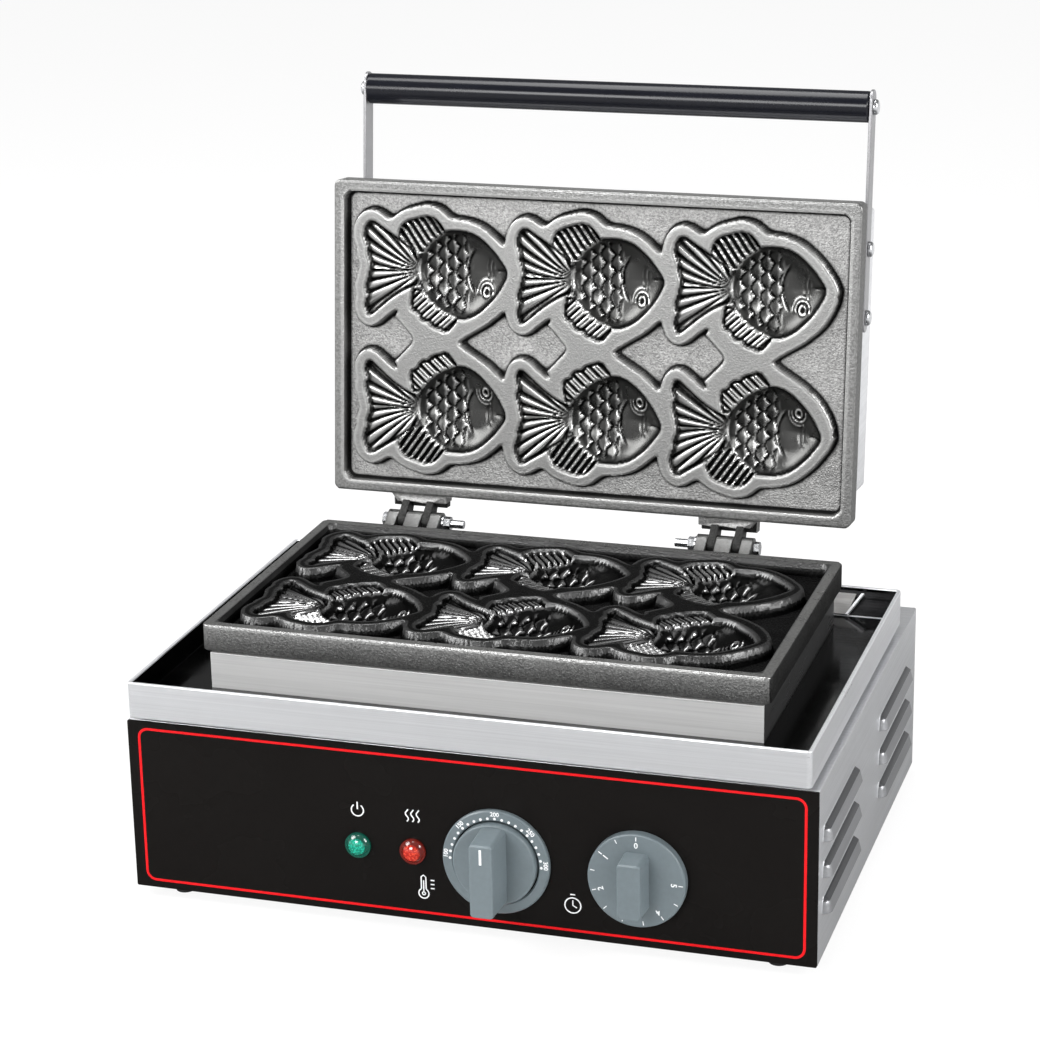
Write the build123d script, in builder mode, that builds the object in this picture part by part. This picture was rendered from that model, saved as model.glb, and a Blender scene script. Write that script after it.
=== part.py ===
"""Six-fish taiyaki maker: sheet-metal base, cast mould plates and a hinged lid, in millimetres.

The part stands on its feet at Z = 0, with X to the right, Y to the back and Z up.
The lid is modelled open, as it rests on the stops of its two hinges.
The origin lies below the middle of the whole open appliance.
"""

from build123d import *
import os
from math import atan2, cos, degrees, radians, sin, tan

# ---- driving dimensions ---------------------------------------------------------------

# clearances
seat_gap = 0.3              # between pieces that rest on or beside each other
running_gap = 0.05          # round a pin or a shaft, on the radius
screw_gap = 0.1             # round a screw's shank, on the radius

# casing of folded sheet
casing_width = 400.0
casing_depth = 294.0
casing_height = 103.0
casing_sheet = 1.2
casing_corner = 2.5         # outside radius of the folded back corners
front_rail = 10.0           # width of the top flange behind the control panel
front_return = 12.0         # folded edges that the control panel is fixed to
lip_height = 9.0            # upturned edge round the opening, which carries the tray
lip_margin = 4.0            # between the lip and the rim that hangs round it
bottom_sheet = 1.2
bottom_flange = 14.0        # inward edge that the bottom plate is screwed to
vent_slot_length = 60.0
vent_slot_width = 4.0
vent_slot_pitch = 12.0
vent_slot_count = 6

# feet
foot_height = 6.0
foot_radius = 7.0
foot_tread_radius = 5.5
foot_inset_x = 24.0
foot_inset_y = 14.0
foot_screw_radius = 2.0
foot_sole = 2.0             # rubber left below a foot's screw

# pressed louvres, in rows of two on each side
louvre_length = 90.0
louvre_radius = 5.2
louvre_sheet = 1.0
louvre_face = 6.5           # height of the hood's face
louvre_draft = 14.0         # of that face
louvre_brow = 1.8           # height of the bend from the casing to the hood's face
louvre_brow_draft = 50.0
louvre_pitch = 21.3
louvre_rows = 3
louvre_places = (56.0, 216.0)
louvre_height = 48.5        # middle row above the casing's underside

# control panel
panel_thickness = 1.5
panel_corner = 1.0
control_height = 42.0
power_lamp_x = -62.0
heat_lamp_x = -29.5
thermostat_x = 19.7
timer_x = 100.8

# drip tray
tray_side_inset = 3.2
tray_overhang = 5.0
tray_behind = 27.0          # from the mould plate back to the rim's outer face
tray_sheet = 1.2
rim_height = 21.0
rim_thickness = 2.4
tray_corner = 3.2           # outside radius of the rim's corners
rim_skirt = 5.4             # how far the rim hangs below the tray's floor
tray_slope = 13.0           # how far the foot of the rear wall stands forward of its top

# heater box below the lower mould plate
box_side_inset = 4.0
box_front_inset = 2.0
box_back_inset = 6.0
box_sheet = 1.2
box_flange = 8.0
box_skirt = 6.0             # below the tray's floor

# cast mould plates, alike above and below
plate_width = 332.0
plate_depth = 196.0
plate_thickness = 15.7
plate_corner = 4.0
plate_front = 33.0          # from the control panel back to the lower plate
plate_face_height = 152.0   # cooking face above the casing's underside
mould_rim = 6.5
recess_depth = 8.0
recess_corner = 6.0
land_margin = 6.5
land_blend = 0.2            # by which the lands of two rows of fish run into each other
fish_pitch_x = 99.4
fish_pitch_y = 82.5
fish_columns = 3
fin_depth = 4.5
belly_depth = 11.5
belly_shoulder = 7.5        # depth at which the belly turns in to its floor
shoulder_share = 0.86       # of the belly's outline, at the shoulder
floor_share = 0.5           # of the belly's outline, at its floor
face_overshoot = 0.5        # how far a hollow's cutter stands above the face

# one fish, nose to +X and back to +Y, about the middle of its length; its body is a smooth line
body_edge = ((-14.0, -1.0), (-9.5, 11.0), (-1.0, 20.0), (9.0, 25.5), (18.0, 27.0), (27.0, 23.5),
             (36.0, 15.5), (43.0, 6.0), (46.8, -3.5), (42.5, -11.5), (35.5, -19.5), (26.5, -26.3),
             (15.5, -29.0), (4.0, -27.5), (-6.0, -21.0), (-12.0, -11.5))
body_centre = (16.5, -1.0)
tail_edge = ((-12.0, 7.0), (-22.0, 11.5), (-38.0, 24.5), (-43.5, 27.5), (-47.0, 22.0), (-45.5, 15.0),
             (-47.0, 9.0), (-43.5, -4.0), (-46.5, -13.0), (-48.0, -22.0), (-46.5, -29.5), (-41.0, -33.0),
             (-27.0, -23.5), (-12.0, -12.0))
back_fin_edge = ((-16.5, 9.0), (-17.0, 20.0), (-11.5, 26.0), (-4.5, 30.5), (2.5, 34.0), (9.5, 35.5),
                 (16.0, 27.0), (6.0, 16.0))
land_edge = ((-26.0, 27.0), (-13.6, 41.25), (14.4, 41.25), (26.0, 33.8), (37.0, 27.0), (45.0, 23.0),
             (38.0, 8.0), (-10.0, 8.0))
belly_fin_edge = ((-25.5, -22.0), (-22.5, -31.0), (-12.0, -35.5), (-2.5, -37.0), (5.0, -29.5), (2.0, -20.0),
                  (-10.0, -12.0))

# tubular heating elements, one behind each plate, lying in sheet pans
element_radius = 3.5
element_run = 250.0
element_pitch = 44.0
element_rows = 4
element_leg = 32.0
element_leg_bend = 9.0
pan_sheet = 1.0
pan_flange = 4.5
pan_depth = 22.0
pan_corner = 4.0
leg_clearance = 2.0
insulation_clearance = 1.0

# studs cast into the backs of the plates
stud_radius = 3.0
stud_sink = 4.0
lower_stud_tail = 3.0
cap_nut_height = 9.0

# lid
lid_lean = 6.0              # degrees past upright when open
cover_side_inset = 6.5
cover_hinge_inset = 11.0
cover_front_inset = 10.0
cover_depth = 60.0
cover_sheet = 1.2
cover_corner = 3.0

# hinges
hinge_centres_x = (-110.0, 90.0)
hinge_behind = 16.5         # axis behind the lower plate
hinge_below = 2.0           # axis below the lower cooking face
knuckle_radius = 6.5
outer_knuckle = 7.0
middle_knuckle = 10.4
lid_lug = 4.8
lug_root = 11.0             # height of a lug where it leaves its plate
hinge_boss_width = 37.0
hinge_boss_drop = 5.0
hinge_boss_height = 12.0
hinge_boss_slope = 4.5      # cut off the lower corner on its outer side
hinge_web_drop = 8.6        # web between the boss and the knuckles
hinge_web_depth = 6.0       # front of that web behind the cooking face
hinge_bolt_radius = 2.5
hinge_bolt_tail = 8.5
washer_thickness = 1.0
stop_offset = 4.0           # rear face of the stop web in front of the hinge axis
heel_reach = 10.5
web_height = 8.0

# handle
arm_width = 13.0
arm_thickness = 2.0
arm_behind_face = 47.0      # centre line of the arms behind the lid's cooking face
arm_tail = 9.0
arm_tip = 10.5
arm_bolt_reaches = (121.5, 163.5)
arm_bolt_radius = 2.5
grip_reach = 249.0          # from the plate's hinge edge to the grip
grip_radius = 9.5
grip_chamfer = 0.8
grip_screw_radius = 2.5
grip_screw_length = 22.0

# fasteners, as shares of their shank's radius
head_radius_ratio = 1.9
head_height_ratio = 1.1
dome_share = 0.8            # of a head's height, rounded off
nut_radius_ratio = 1.8
nut_height_ratio = 1.6
bolt_head_ratio = 1.4
washer_ratio = 2.0
cap_share = 0.86            # of a cap nut's hexagon, for its round cap
screw_radius = 2.0
screw_length = 6.0

# temperature control
dial_radius = 31.0
dial_thickness = 3.0
dial_chamfer = 0.8
dial_gap = 0.8              # between the fixed dial and the knob's skirt
knob_skirt_radius = 24.0
knob_skirt_height = 7.0
knob_bar_width = 15.0
knob_bar_length = 45.0
knob_bar_height = 30.0
knob_bar_draft = 2.0
knob_fillet = 1.2
bar_corner = 3.0
knob_socket_depth = 12.0
shaft_radius = 3.0
shaft_flat = 0.9
bushing_radius = 5.0
shaft_depth = 8.0           # into the switch bodies
bushing_proud = 2.0         # in front of the control panel
switch_screw_offset = 14.0
skirt_wall = 2.5
skirt_lift = 0.6            # between a turning skirt and the panel
thermostat_size = (34.0, 38.0, 40.0)
switch_corner = 2.0
bulb_radius = 3.0
bulb_length = 90.0

# timer
timer_skirt_radius = 27.7
timer_skirt_height = 6.0
timer_bar_width = 14.5
timer_bar_length = 34.0
timer_bar_height = 22.0
timer_size = (48.0, 36.0, 52.0)

# indicator lamps
lamp_radius = 7.5
lamp_bezel_height = 1.6
lamp_dome_height = 3.6
lamp_body_radius = 5.5
lamp_body_length = 26.0
lamp_bezel_width = 1.0
lamp_nut_radius = 8.0
lamp_nut_thickness = 3.0

# electrical fittings at the back and inside
gland_radius = 10.0
gland_bore_radius = 4.0
gland_thread_radius = 7.5
gland_thread_length = 9.0
gland_flange_height = 6.0
gland_dome_length = 14.0
gland_dome_draft = 12.0
gland_nut_thickness = 4.0
mains_gland_inset = 60.0    # from the casing's right side
link_gland_x = -60.0
gland_height = 30.0
lid_gland_depth = 52.0      # behind the lid's cooking face
block_size = (62.0, 22.0, 24.0)
block_ways = 5
block_bore_radius = 3.0
block_slot = 2.0
block_inset_x = 90.0        # from the casing's right side
block_inset_y = 40.0        # from the casing's back

# ---- places worked out from the dimensions ------------------------------------------------

lean_sin = sin(radians(lid_lean))
lean_cos = cos(radians(lid_lean))

casing_base = foot_height
casing_top = casing_base + casing_height
face_z = casing_base + plate_face_height
control_z = casing_base + control_height

# the closed lid's face lies a seat gap above the lower face, which fixes its open place
closed_drop = hinge_below + seat_gap
lid_edge_back = hinge_behind * lean_sin + closed_drop * lean_cos
lid_edge_up = hinge_behind * lean_cos - closed_drop * lean_sin
cover_back = plate_thickness + cover_depth
stud_spacing_x = fish_pitch_x      # between two fish, where the casting is thick
stud_spacing_y = 2 * element_pitch     # between the runs of the element
cap_nut_reach = plate_depth / 2 + stud_spacing_y / 2
lid_reach = (lid_edge_back + cap_nut_reach * lean_sin + (cover_back + cap_nut_height) * lean_cos)
front_y = (knob_bar_height - plate_front - plate_depth - hinge_behind - lid_reach) / 2
back_y = front_y + casing_depth

plate_front_y = front_y + plate_front
plate_back_y = plate_front_y + plate_depth
plate_mid_y = plate_front_y + plate_depth / 2
hinge_y = plate_back_y + hinge_behind
hinge_z = face_z - hinge_below
lid_edge_y = hinge_y + lid_edge_back
lid_edge_z = hinge_z + lid_edge_up
lid_mid_y = lid_edge_y + plate_depth / 2 * lean_sin
lid_mid_z = lid_edge_z + plate_depth / 2 * lean_cos

# local frames on the two cooking faces: X along the hinge, Z out of the face
lower_face = Plane(origin=(0, plate_mid_y, face_z), x_dir=(1, 0, 0), z_dir=(0, 0, 1))
lid_face = Plane(origin=(0, lid_mid_y, lid_mid_z), x_dir=(1, 0, 0), z_dir=(0, -lean_cos, lean_sin))

panel_back_y = front_y + panel_thickness
shell_front_y = panel_back_y + seat_gap
shell_depth = back_y - shell_front_y
shell_mid_y = (shell_front_y + back_y) / 2

tray_width = casing_width - 2 * tray_side_inset
tray_front_y = front_y - tray_overhang
tray_back_y = plate_back_y + tray_behind
tray_depth = tray_back_y - tray_front_y
tray_mid_y = (tray_front_y + tray_back_y) / 2
floor_bottom = casing_top + lip_height + seat_gap
floor_top = floor_bottom + tray_sheet
rim_bottom = floor_bottom - rim_skirt
rim_top = rim_bottom + rim_height

opening_width = tray_width - 2 * (rim_thickness + lip_margin + casing_sheet)
opening_front_y = shell_front_y + front_rail
opening_back_y = tray_back_y - rim_thickness - tray_slope - lip_margin
opening_depth = opening_back_y - opening_front_y
opening_mid_y = (opening_front_y + opening_back_y) / 2

box_width = plate_width - 2 * box_side_inset
box_front_y = plate_front_y + box_front_inset
box_back_y = plate_back_y - box_back_inset
box_mid_y = (box_front_y + box_back_y) / 2
box_depth = box_back_y - box_front_y

# pans, pads and elements lie in the box, and in the lid's cover, in the frames of the faces
pan_top = plate_thickness + seat_gap
lower_pan_width = box_width - 2 * (box_sheet + box_flange + seat_gap)
lower_pan_length = box_depth - 2 * (box_sheet + box_flange + seat_gap)
lower_pan_shift = box_mid_y - plate_mid_y
box_top = face_z - pan_top - pan_sheet - seat_gap
element_level = pan_top + element_radius
row_offsets = [(row - (element_rows - 1) / 2) * element_pitch for row in range(element_rows)]
leg_places = [(-element_run / 2, row_offsets[0]), (-element_run / 2, row_offsets[-1])]
stud_places = GridLocations(stud_spacing_x, stud_spacing_y, 2, 2).locations

cover_width = plate_width - 2 * cover_side_inset
cover_length = plate_depth - cover_hinge_inset - cover_front_inset
cover_shift = (cover_hinge_inset - cover_front_inset) / 2
upper_pan_width = cover_width - 2 * (cover_sheet + seat_gap + pan_flange)
upper_pan_length = cover_length - 2 * (cover_sheet + seat_gap + pan_flange)
arm_inner_x = cover_width / 2 + seat_gap
arm_outer_x = arm_inner_x + arm_thickness
grip_length = 2 * (arm_inner_x - seat_gap)

os.makedirs("parts", exist_ok=True)


# ---- shapes used more than once ---------------------------------------------------------------

def write(part: Part, name: str) -> None:
    """Label a finished piece and write its file."""
    part.label = name
    export_step(part, f"parts/{name}.step")


def under(face: Plane, depth: float) -> Plane:
    """The plane a given depth below a face."""
    return face.offset(-depth)


def grown(edge: tuple, flip: int, margin: float) -> Sketch:
    """One straight-edged region of a fish, turned over if asked, grown by a margin."""
    with BuildSketch() as region:
        Polygon(*((x, flip * y) for x, y in edge), align=None)
        offset(amount=margin, kind=Kind.ARC)
    return region.sketch


def fish_body(flip: int, depth: float, share: float) -> Sketch:
    """Rounded outline of a fish without its fins, at a depth, scaled about the body's middle."""
    middle_x, middle_y = body_centre
    with BuildSketch(Plane.XY.offset(-depth)) as body:
        with BuildLine():
            Spline(*((middle_x + (x - middle_x) * share, flip * (middle_y + (y - middle_y) * share))
                     for x, y in body_edge), periodic=True)
        make_face()
    return body.sketch


def fish_belly(flip: int) -> Part:
    """What the belly of one fish takes out of its plate: a bowl with a flatter floor."""
    with BuildPart() as belly:
        add(fish_body(flip, -face_overshoot, 1.0))
        add(fish_body(flip, belly_shoulder, shoulder_share))
        add(fish_body(flip, belly_depth, floor_share))
        loft(ruled=True)
    return belly.part


def mould_plate() -> Part:
    """Cast plate with its rim, raised lands and fish-shaped hollows, but without hinge lugs.

    Its cooking face lies at Z = 0. The two rows of fish have their backs to its middle.
    """
    fins = (tail_edge, back_fin_edge, belly_fin_edge)
    columns = [(column - (fish_columns - 1) / 2) * fish_pitch_x for column in range(fish_columns)]
    rows = [(-1, [(x, -fish_pitch_y / 2) for x in columns]), (1, [(x, fish_pitch_y / 2) for x in columns])]
    land_share = 1 + 2 * land_margin / (body_edge[4][1] - body_edge[12][1])
    lands = [Pos(x, y) * land for row, places in rows for x, y in places
             for land in (fish_body(-row, 0, land_share), grown(land_edge, -row, land_blend),
                          *(grown(edge, -row, land_margin) for edge in fins))]
    bellies = [Pos(x, y) * fish_belly(-row) for row, places in rows for x, y in places]
    with BuildPart() as plate:
        with BuildSketch():
            RectangleRounded(plate_width, plate_depth, plate_corner)
        extrude(amount=-plate_thickness)
        with BuildSketch():
            RectangleRounded(plate_width - 2 * mould_rim, plate_depth - 2 * mould_rim, recess_corner)
            add(lands, mode=Mode.SUBTRACT)
        extrude(amount=-recess_depth, mode=Mode.SUBTRACT)
        with BuildSketch():
            for row, places in rows:
                with Locations(*places):
                    for edge in fins:
                        Polygon(*((x, -row * y) for x, y in edge), align=None)
        extrude(amount=-fin_depth, mode=Mode.SUBTRACT)
        add(bellies, mode=Mode.SUBTRACT)
        with BuildSketch(under(Plane.XY, plate_thickness)):
            with Locations(*stud_places):
                Circle(stud_radius + screw_gap)
        extrude(amount=stud_sink + seat_gap, mode=Mode.SUBTRACT)
    return plate.part


def element_tube(face: Plane) -> Part:
    """Tubular heater in runs behind a plate, with both ends bent away from it."""
    reach = element_run / 2
    bend = element_pitch / 2 - 0.05
    ends = [[(-reach, row, -element_level - element_leg), (-reach, row, -element_level)]
            for row in (row_offsets[0], row_offsets[-1])]
    points = [*ends[0]]
    radii = [element_leg_bend]
    side = 1
    for row in range(element_rows - 1):
        points += [(side * reach, row_offsets[row], -element_level),
                   (side * reach, row_offsets[row + 1], -element_level)]
        radii += [bend, bend]
        side = -side
    points += reversed(ends[1])
    radii.append(element_leg_bend)
    with BuildPart() as tube:
        with BuildLine(face) as path:
            FilletPolyline(*points, radius=radii)
        with BuildSketch(Plane(origin=path.line @ 0, z_dir=path.line % 0)):
            Circle(element_radius)
        sweep(path=path.line)
    return tube.part


def element_pan(face: Plane, width: float, length: float, shift: float) -> Part:
    """Open sheet pan behind a plate, with its flange towards the plate."""
    with BuildPart() as pan:
        with BuildSketch(under(face, pan_top)):
            with Locations((0, shift)):
                RectangleRounded(width, length, pan_corner)
        extrude(amount=-pan_depth)
        with BuildSketch(under(face, pan_top)):
            with Locations((0, shift)):
                RectangleRounded(width + 2 * pan_flange, length + 2 * pan_flange, pan_corner)
        extrude(amount=-pan_sheet)
        with BuildSketch(under(face, pan_top)):
            with Locations((0, shift)):
                RectangleRounded(width - 2 * pan_sheet, length - 2 * pan_sheet, pan_corner - pan_sheet)
        extrude(amount=pan_sheet - pan_depth, mode=Mode.SUBTRACT)
        with BuildSketch(under(face, pan_top)):
            with Locations(*stud_places):
                Circle(stud_radius + screw_gap)
            with Locations(*leg_places):
                Circle(element_radius + leg_clearance)
        extrude(amount=-pan_depth, mode=Mode.SUBTRACT)
    return pan.part


def insulation_pad(face: Plane, width: float, length: float, shift: float) -> Part:
    """Mineral wool pad between a pan's floor and its element."""
    inset = 2 * (pan_sheet + insulation_clearance)
    top = element_level + element_radius + seat_gap
    floor = pan_top + pan_depth - pan_sheet - seat_gap
    with BuildPart() as pad:
        with BuildSketch(under(face, top)):
            with Locations((0, shift)):
                Rectangle(width - inset, length - inset)
            with Locations(*stud_places):
                Circle(stud_radius + insulation_clearance, mode=Mode.SUBTRACT)
            for x, y in leg_places:
                with Locations((x + element_leg_bend / 2, y)):
                    SlotCenterToCenter(element_leg_bend, 2 * (element_radius + leg_clearance),
                                       mode=Mode.SUBTRACT)
        extrude(amount=top - floor)
    return pad.part


def hexagon(plane: Plane, shank_radius: float, height: float, bore: float = 0.0) -> Part:
    """Hexagonal nut, or bolt head where it has no bore, for a shank's radius."""
    with BuildPart() as prism:
        with BuildSketch(plane):
            RegularPolygon(shank_radius * nut_radius_ratio, 6)
            if bore > 0:
                Circle(bore, mode=Mode.SUBTRACT)
        extrude(amount=height)
    return prism.part


def domed_screw(plane: Plane, shank_radius: float, length: float) -> Part:
    """Screw with a domed head on the plane and its shank behind it."""
    head_height = shank_radius * head_height_ratio
    with BuildPart() as screw:
        with BuildSketch(plane):
            Circle(shank_radius * head_radius_ratio)
        extrude(amount=head_height)
        outward = Axis(plane.origin, plane.z_dir)
        fillet(screw.edges().filter_by(GeomType.CIRCLE).sort_by(outward)[-1], head_height * dome_share)
        with BuildSketch(plane):
            Circle(shank_radius)
        extrude(amount=-length)
    return screw.part


def gland(plane: Plane) -> Part:
    """Cable gland on a sheet's outer face: thread, hexagon and domed nut with an open bore."""
    with BuildPart() as fitting:
        with BuildSketch(plane.offset(seat_gap)):
            Circle(gland_thread_radius)
        extrude(amount=-gland_thread_length)
        with BuildSketch(plane.offset(seat_gap)):
            RegularPolygon(gland_radius, 6)
        extrude(amount=gland_flange_height)
        with BuildSketch(plane.offset(seat_gap + gland_flange_height)):
            Circle(gland_radius * cos(radians(30)))
        extrude(amount=gland_dome_length, taper=gland_dome_draft)
        with BuildSketch(plane.offset(seat_gap + gland_flange_height + gland_dome_length)):
            Circle(gland_bore_radius)
        extrude(amount=-gland_thread_length - gland_flange_height - gland_dome_length, mode=Mode.SUBTRACT)
    return fitting.part


def gland_nut(plane: Plane) -> Part:
    """Thin hexagonal nut behind a gland's sheet."""
    with BuildPart() as nut:
        with BuildSketch(plane):
            RegularPolygon(gland_radius, 6)
            Circle(gland_thread_radius + screw_gap, mode=Mode.SUBTRACT)
        extrude(amount=-gland_nut_thickness)
    return nut.part


# ---- casing -------------------------------------------------------------------------------------

flange_z = casing_base + bottom_sheet + seat_gap
back_plane = Plane(origin=(0, back_y, casing_base), x_dir=(-1, 0, 0), z_dir=(0, 1, 0))
mains_gland_x = casing_width / 2 - mains_gland_inset
back_glands = [(-mains_gland_x, gland_height), (-link_gland_x, gland_height)]
foot_x = casing_width / 2 - foot_inset_x
foot_places = [(x, y) for x in (-foot_x, foot_x) for y in (front_y + foot_inset_y, back_y - foot_inset_y)]
base_screw_x = (casing_width - bottom_flange) / 2 - casing_sheet
base_screw_places = [(x, shell_mid_y + shift) for x in (-base_screw_x, base_screw_x)
                     for shift in (-shell_depth / 4, shell_depth / 4)]

with BuildPart() as body_shell:
    with BuildSketch(Plane.XY.offset(casing_base)):
        with Locations((0, shell_mid_y)):
            Rectangle(casing_width, shell_depth)
    extrude(amount=casing_height)
    fillet(body_shell.edges().filter_by(Axis.Z).group_by(Axis.Y)[-1], radius=casing_corner)
    with BuildSketch(Plane.XY.offset(casing_base)):
        with Locations((0, shell_mid_y - casing_sheet / 2)):
            Rectangle(casing_width - 2 * casing_sheet, shell_depth - casing_sheet)
    extrude(amount=casing_height - casing_sheet, mode=Mode.SUBTRACT)
    # louvres: hoods that lean in to the sheet above and are open below
    for row in range(louvre_rows):
        sill = casing_base + louvre_height + (row - (louvre_rows - 1) / 2) * louvre_pitch
        for radius, action in ((louvre_radius, Mode.ADD), (louvre_radius - louvre_sheet, Mode.SUBTRACT)):
            face_height = louvre_face + radius - louvre_radius
            brow_radius = radius - face_height * tan(radians(louvre_draft))
            for level, reach, height, draft in (
                    (sill, radius, face_height, louvre_draft),
                    (sill + face_height, brow_radius, louvre_brow, louvre_brow_draft)):
                with BuildSketch(Plane.XY.offset(level)):
                    for side in (-1, 1):
                        for y in louvre_places:
                            with Locations((side * casing_width / 2, front_y + y)):
                                SlotOverall(louvre_length - 2 * (louvre_radius - reach), 2 * reach,
                                            rotation=90)
                extrude(amount=height, taper=draft, mode=action)
    with BuildSketch(Plane.XY.offset(casing_base)):
        for side in (-1, 1):
            with Locations((side * (casing_width / 2 - casing_sheet - louvre_radius / 2), shell_mid_y)):
                Rectangle(louvre_radius, shell_depth - 2 * (casing_sheet + casing_corner))
    extrude(amount=casing_height - casing_sheet, mode=Mode.SUBTRACT)
    # folded edges at the front and the bottom, and the lip round the opening in the top
    with BuildSketch(Plane.XY.offset(casing_base)):
        for side in (-1, 1):
            with Locations((side * (casing_width - front_return) / 2, shell_front_y + casing_sheet / 2)):
                Rectangle(front_return, casing_sheet)
    extrude(amount=casing_height)
    with BuildSketch(Plane.XY.offset(flange_z)):
        with Locations((0, shell_mid_y)):
            Rectangle(casing_width - 2 * casing_corner, shell_depth - 2 * casing_sheet)
            Rectangle(casing_width - 2 * (casing_sheet + bottom_flange),
                      shell_depth - 2 * (casing_sheet + bottom_flange), mode=Mode.SUBTRACT)
        for side in (-1, 1):
            with Locations((side * (casing_width - bottom_flange - casing_sheet) / 2, shell_mid_y)):
                Rectangle(bottom_flange + casing_sheet, shell_depth - 2 * casing_corner)
        with Locations(*base_screw_places):
            Circle(screw_radius + screw_gap, mode=Mode.SUBTRACT)
        with Locations(*foot_places):
            Circle(foot_radius, mode=Mode.SUBTRACT)
    extrude(amount=casing_sheet)
    with BuildSketch(Plane.XY.offset(casing_top - casing_sheet)):
        with Locations((0, opening_mid_y)):
            Rectangle(opening_width + 2 * casing_sheet, opening_depth + 2 * casing_sheet)
    extrude(amount=casing_sheet + lip_height)
    with BuildSketch(Plane.XY.offset(casing_top - casing_sheet)):
        with Locations((0, opening_mid_y)):
            Rectangle(opening_width, opening_depth)
    extrude(amount=casing_sheet + lip_height, mode=Mode.SUBTRACT)
    with BuildSketch(back_plane):
        with Locations(*back_glands):
            Circle(gland_thread_radius + seat_gap)
    extrude(amount=-casing_sheet, mode=Mode.SUBTRACT)
write(body_shell.part, "body_shell")

with BuildPart() as bottom_plate:
    with BuildSketch(Plane.XY.offset(casing_base)):
        with Locations((0, shell_mid_y)):
            Rectangle(casing_width - 2 * (casing_sheet + seat_gap),
                      shell_depth - 2 * (casing_sheet + seat_gap))
            with GridLocations(vent_slot_length * 2, vent_slot_pitch, 2, vent_slot_count):
                SlotOverall(vent_slot_length, vent_slot_width, mode=Mode.SUBTRACT)
        with Locations(*foot_places):
            Circle(foot_screw_radius + screw_gap, mode=Mode.SUBTRACT)
        with Locations(*base_screw_places):
            Circle(screw_radius + screw_gap, mode=Mode.SUBTRACT)
    extrude(amount=bottom_sheet)
write(bottom_plate.part, "bottom_plate")

with BuildPart() as base_screws:
    for x, y in base_screw_places:
        add(domed_screw(Plane(origin=(x, y, casing_base), x_dir=(1, 0, 0), z_dir=(0, 0, -1)),
                        screw_radius, screw_length))
write(base_screws.part, "base_screws")

with BuildPart() as feet:
    with BuildSketch():
        with Locations(*foot_places):
            Circle(foot_tread_radius)
    foot_draft = degrees(atan2(foot_radius - foot_tread_radius, foot_height))
    extrude(amount=foot_height - seat_gap, taper=-foot_draft)
    with BuildSketch(Plane.XY.offset(foot_height)):
        with Locations(*foot_places):
            Circle(foot_screw_radius + screw_gap)
    extrude(amount=-foot_height + foot_sole, mode=Mode.SUBTRACT)
write(feet.part, "feet")

with BuildPart() as foot_screws:
    for x, y in foot_places:
        top = casing_base + bottom_sheet + seat_gap
        add(domed_screw(Plane(origin=(x, y, top), x_dir=(1, 0, 0), z_dir=(0, 0, 1)), foot_screw_radius,
                        top - foot_sole - seat_gap))
write(foot_screws.part, "foot_screws")

# ---- control panel -------------------------------------------------------------------------------

def panel_point(x: float) -> Plane:
    """Plane on the panel's front face at one control, facing out, with its Y upwards."""
    return Plane(origin=(x, front_y, control_z), x_dir=(1, 0, 0), z_dir=(0, -1, 0))


switch_screw_places = [(x + side * switch_screw_offset, control_height)
                       for x in (thermostat_x, timer_x) for side in (-1, 1)]

with BuildPart() as front_panel:
    with BuildSketch(Plane(origin=(0, front_y, casing_base), x_dir=(1, 0, 0), z_dir=(0, -1, 0))):
        with Locations((0, casing_height / 2)):
            RectangleRounded(casing_width, casing_height, panel_corner)
        with Locations((thermostat_x, control_height), (timer_x, control_height)):
            Circle(bushing_radius + seat_gap, mode=Mode.SUBTRACT)
        with Locations((power_lamp_x, control_height), (heat_lamp_x, control_height)):
            Circle(lamp_body_radius + seat_gap, mode=Mode.SUBTRACT)
        with Locations(*switch_screw_places):
            Circle(screw_radius + screw_gap, mode=Mode.SUBTRACT)
    extrude(amount=-panel_thickness)
write(front_panel.part, "front_panel")


def switch_body(x: float, size: tuple[float, float, float]) -> Part:
    """Switch behind the panel, with a bushing through it and bores for its shaft and screws."""
    width, length, height = size
    with BuildPart() as body:
        with BuildSketch(panel_point(x).offset(-panel_thickness - seat_gap)):
            RectangleRounded(width, height, switch_corner)
            with Locations((-switch_screw_offset, 0), (switch_screw_offset, 0)):
                Circle(screw_radius + screw_gap, mode=Mode.SUBTRACT)
        extrude(amount=-length)
        with BuildSketch(panel_point(x).offset(bushing_proud)):
            Circle(bushing_radius)
        extrude(amount=-bushing_proud - panel_thickness - seat_gap)
        with BuildSketch(panel_point(x).offset(bushing_proud)):
            Circle(shaft_radius + running_gap)
        extrude(amount=-bushing_proud - panel_thickness - shaft_depth - 2 * seat_gap, mode=Mode.SUBTRACT)
    return body.part


def control_shaft(x: float) -> Part:
    """Shaft of a switch, with a flat where the knob grips it."""
    with BuildPart() as shaft:
        with BuildSketch(panel_point(x).offset(-panel_thickness - shaft_depth)):
            Circle(shaft_radius)
        extrude(amount=panel_thickness + shaft_depth + skirt_lift + knob_socket_depth - seat_gap)
        with BuildSketch(panel_point(x).offset(skirt_lift + bushing_proud)):
            with Locations((0, shaft_radius)):
                Rectangle(2 * shaft_radius, 2 * shaft_flat)
        extrude(amount=knob_socket_depth, mode=Mode.SUBTRACT)
    return shaft.part


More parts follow.
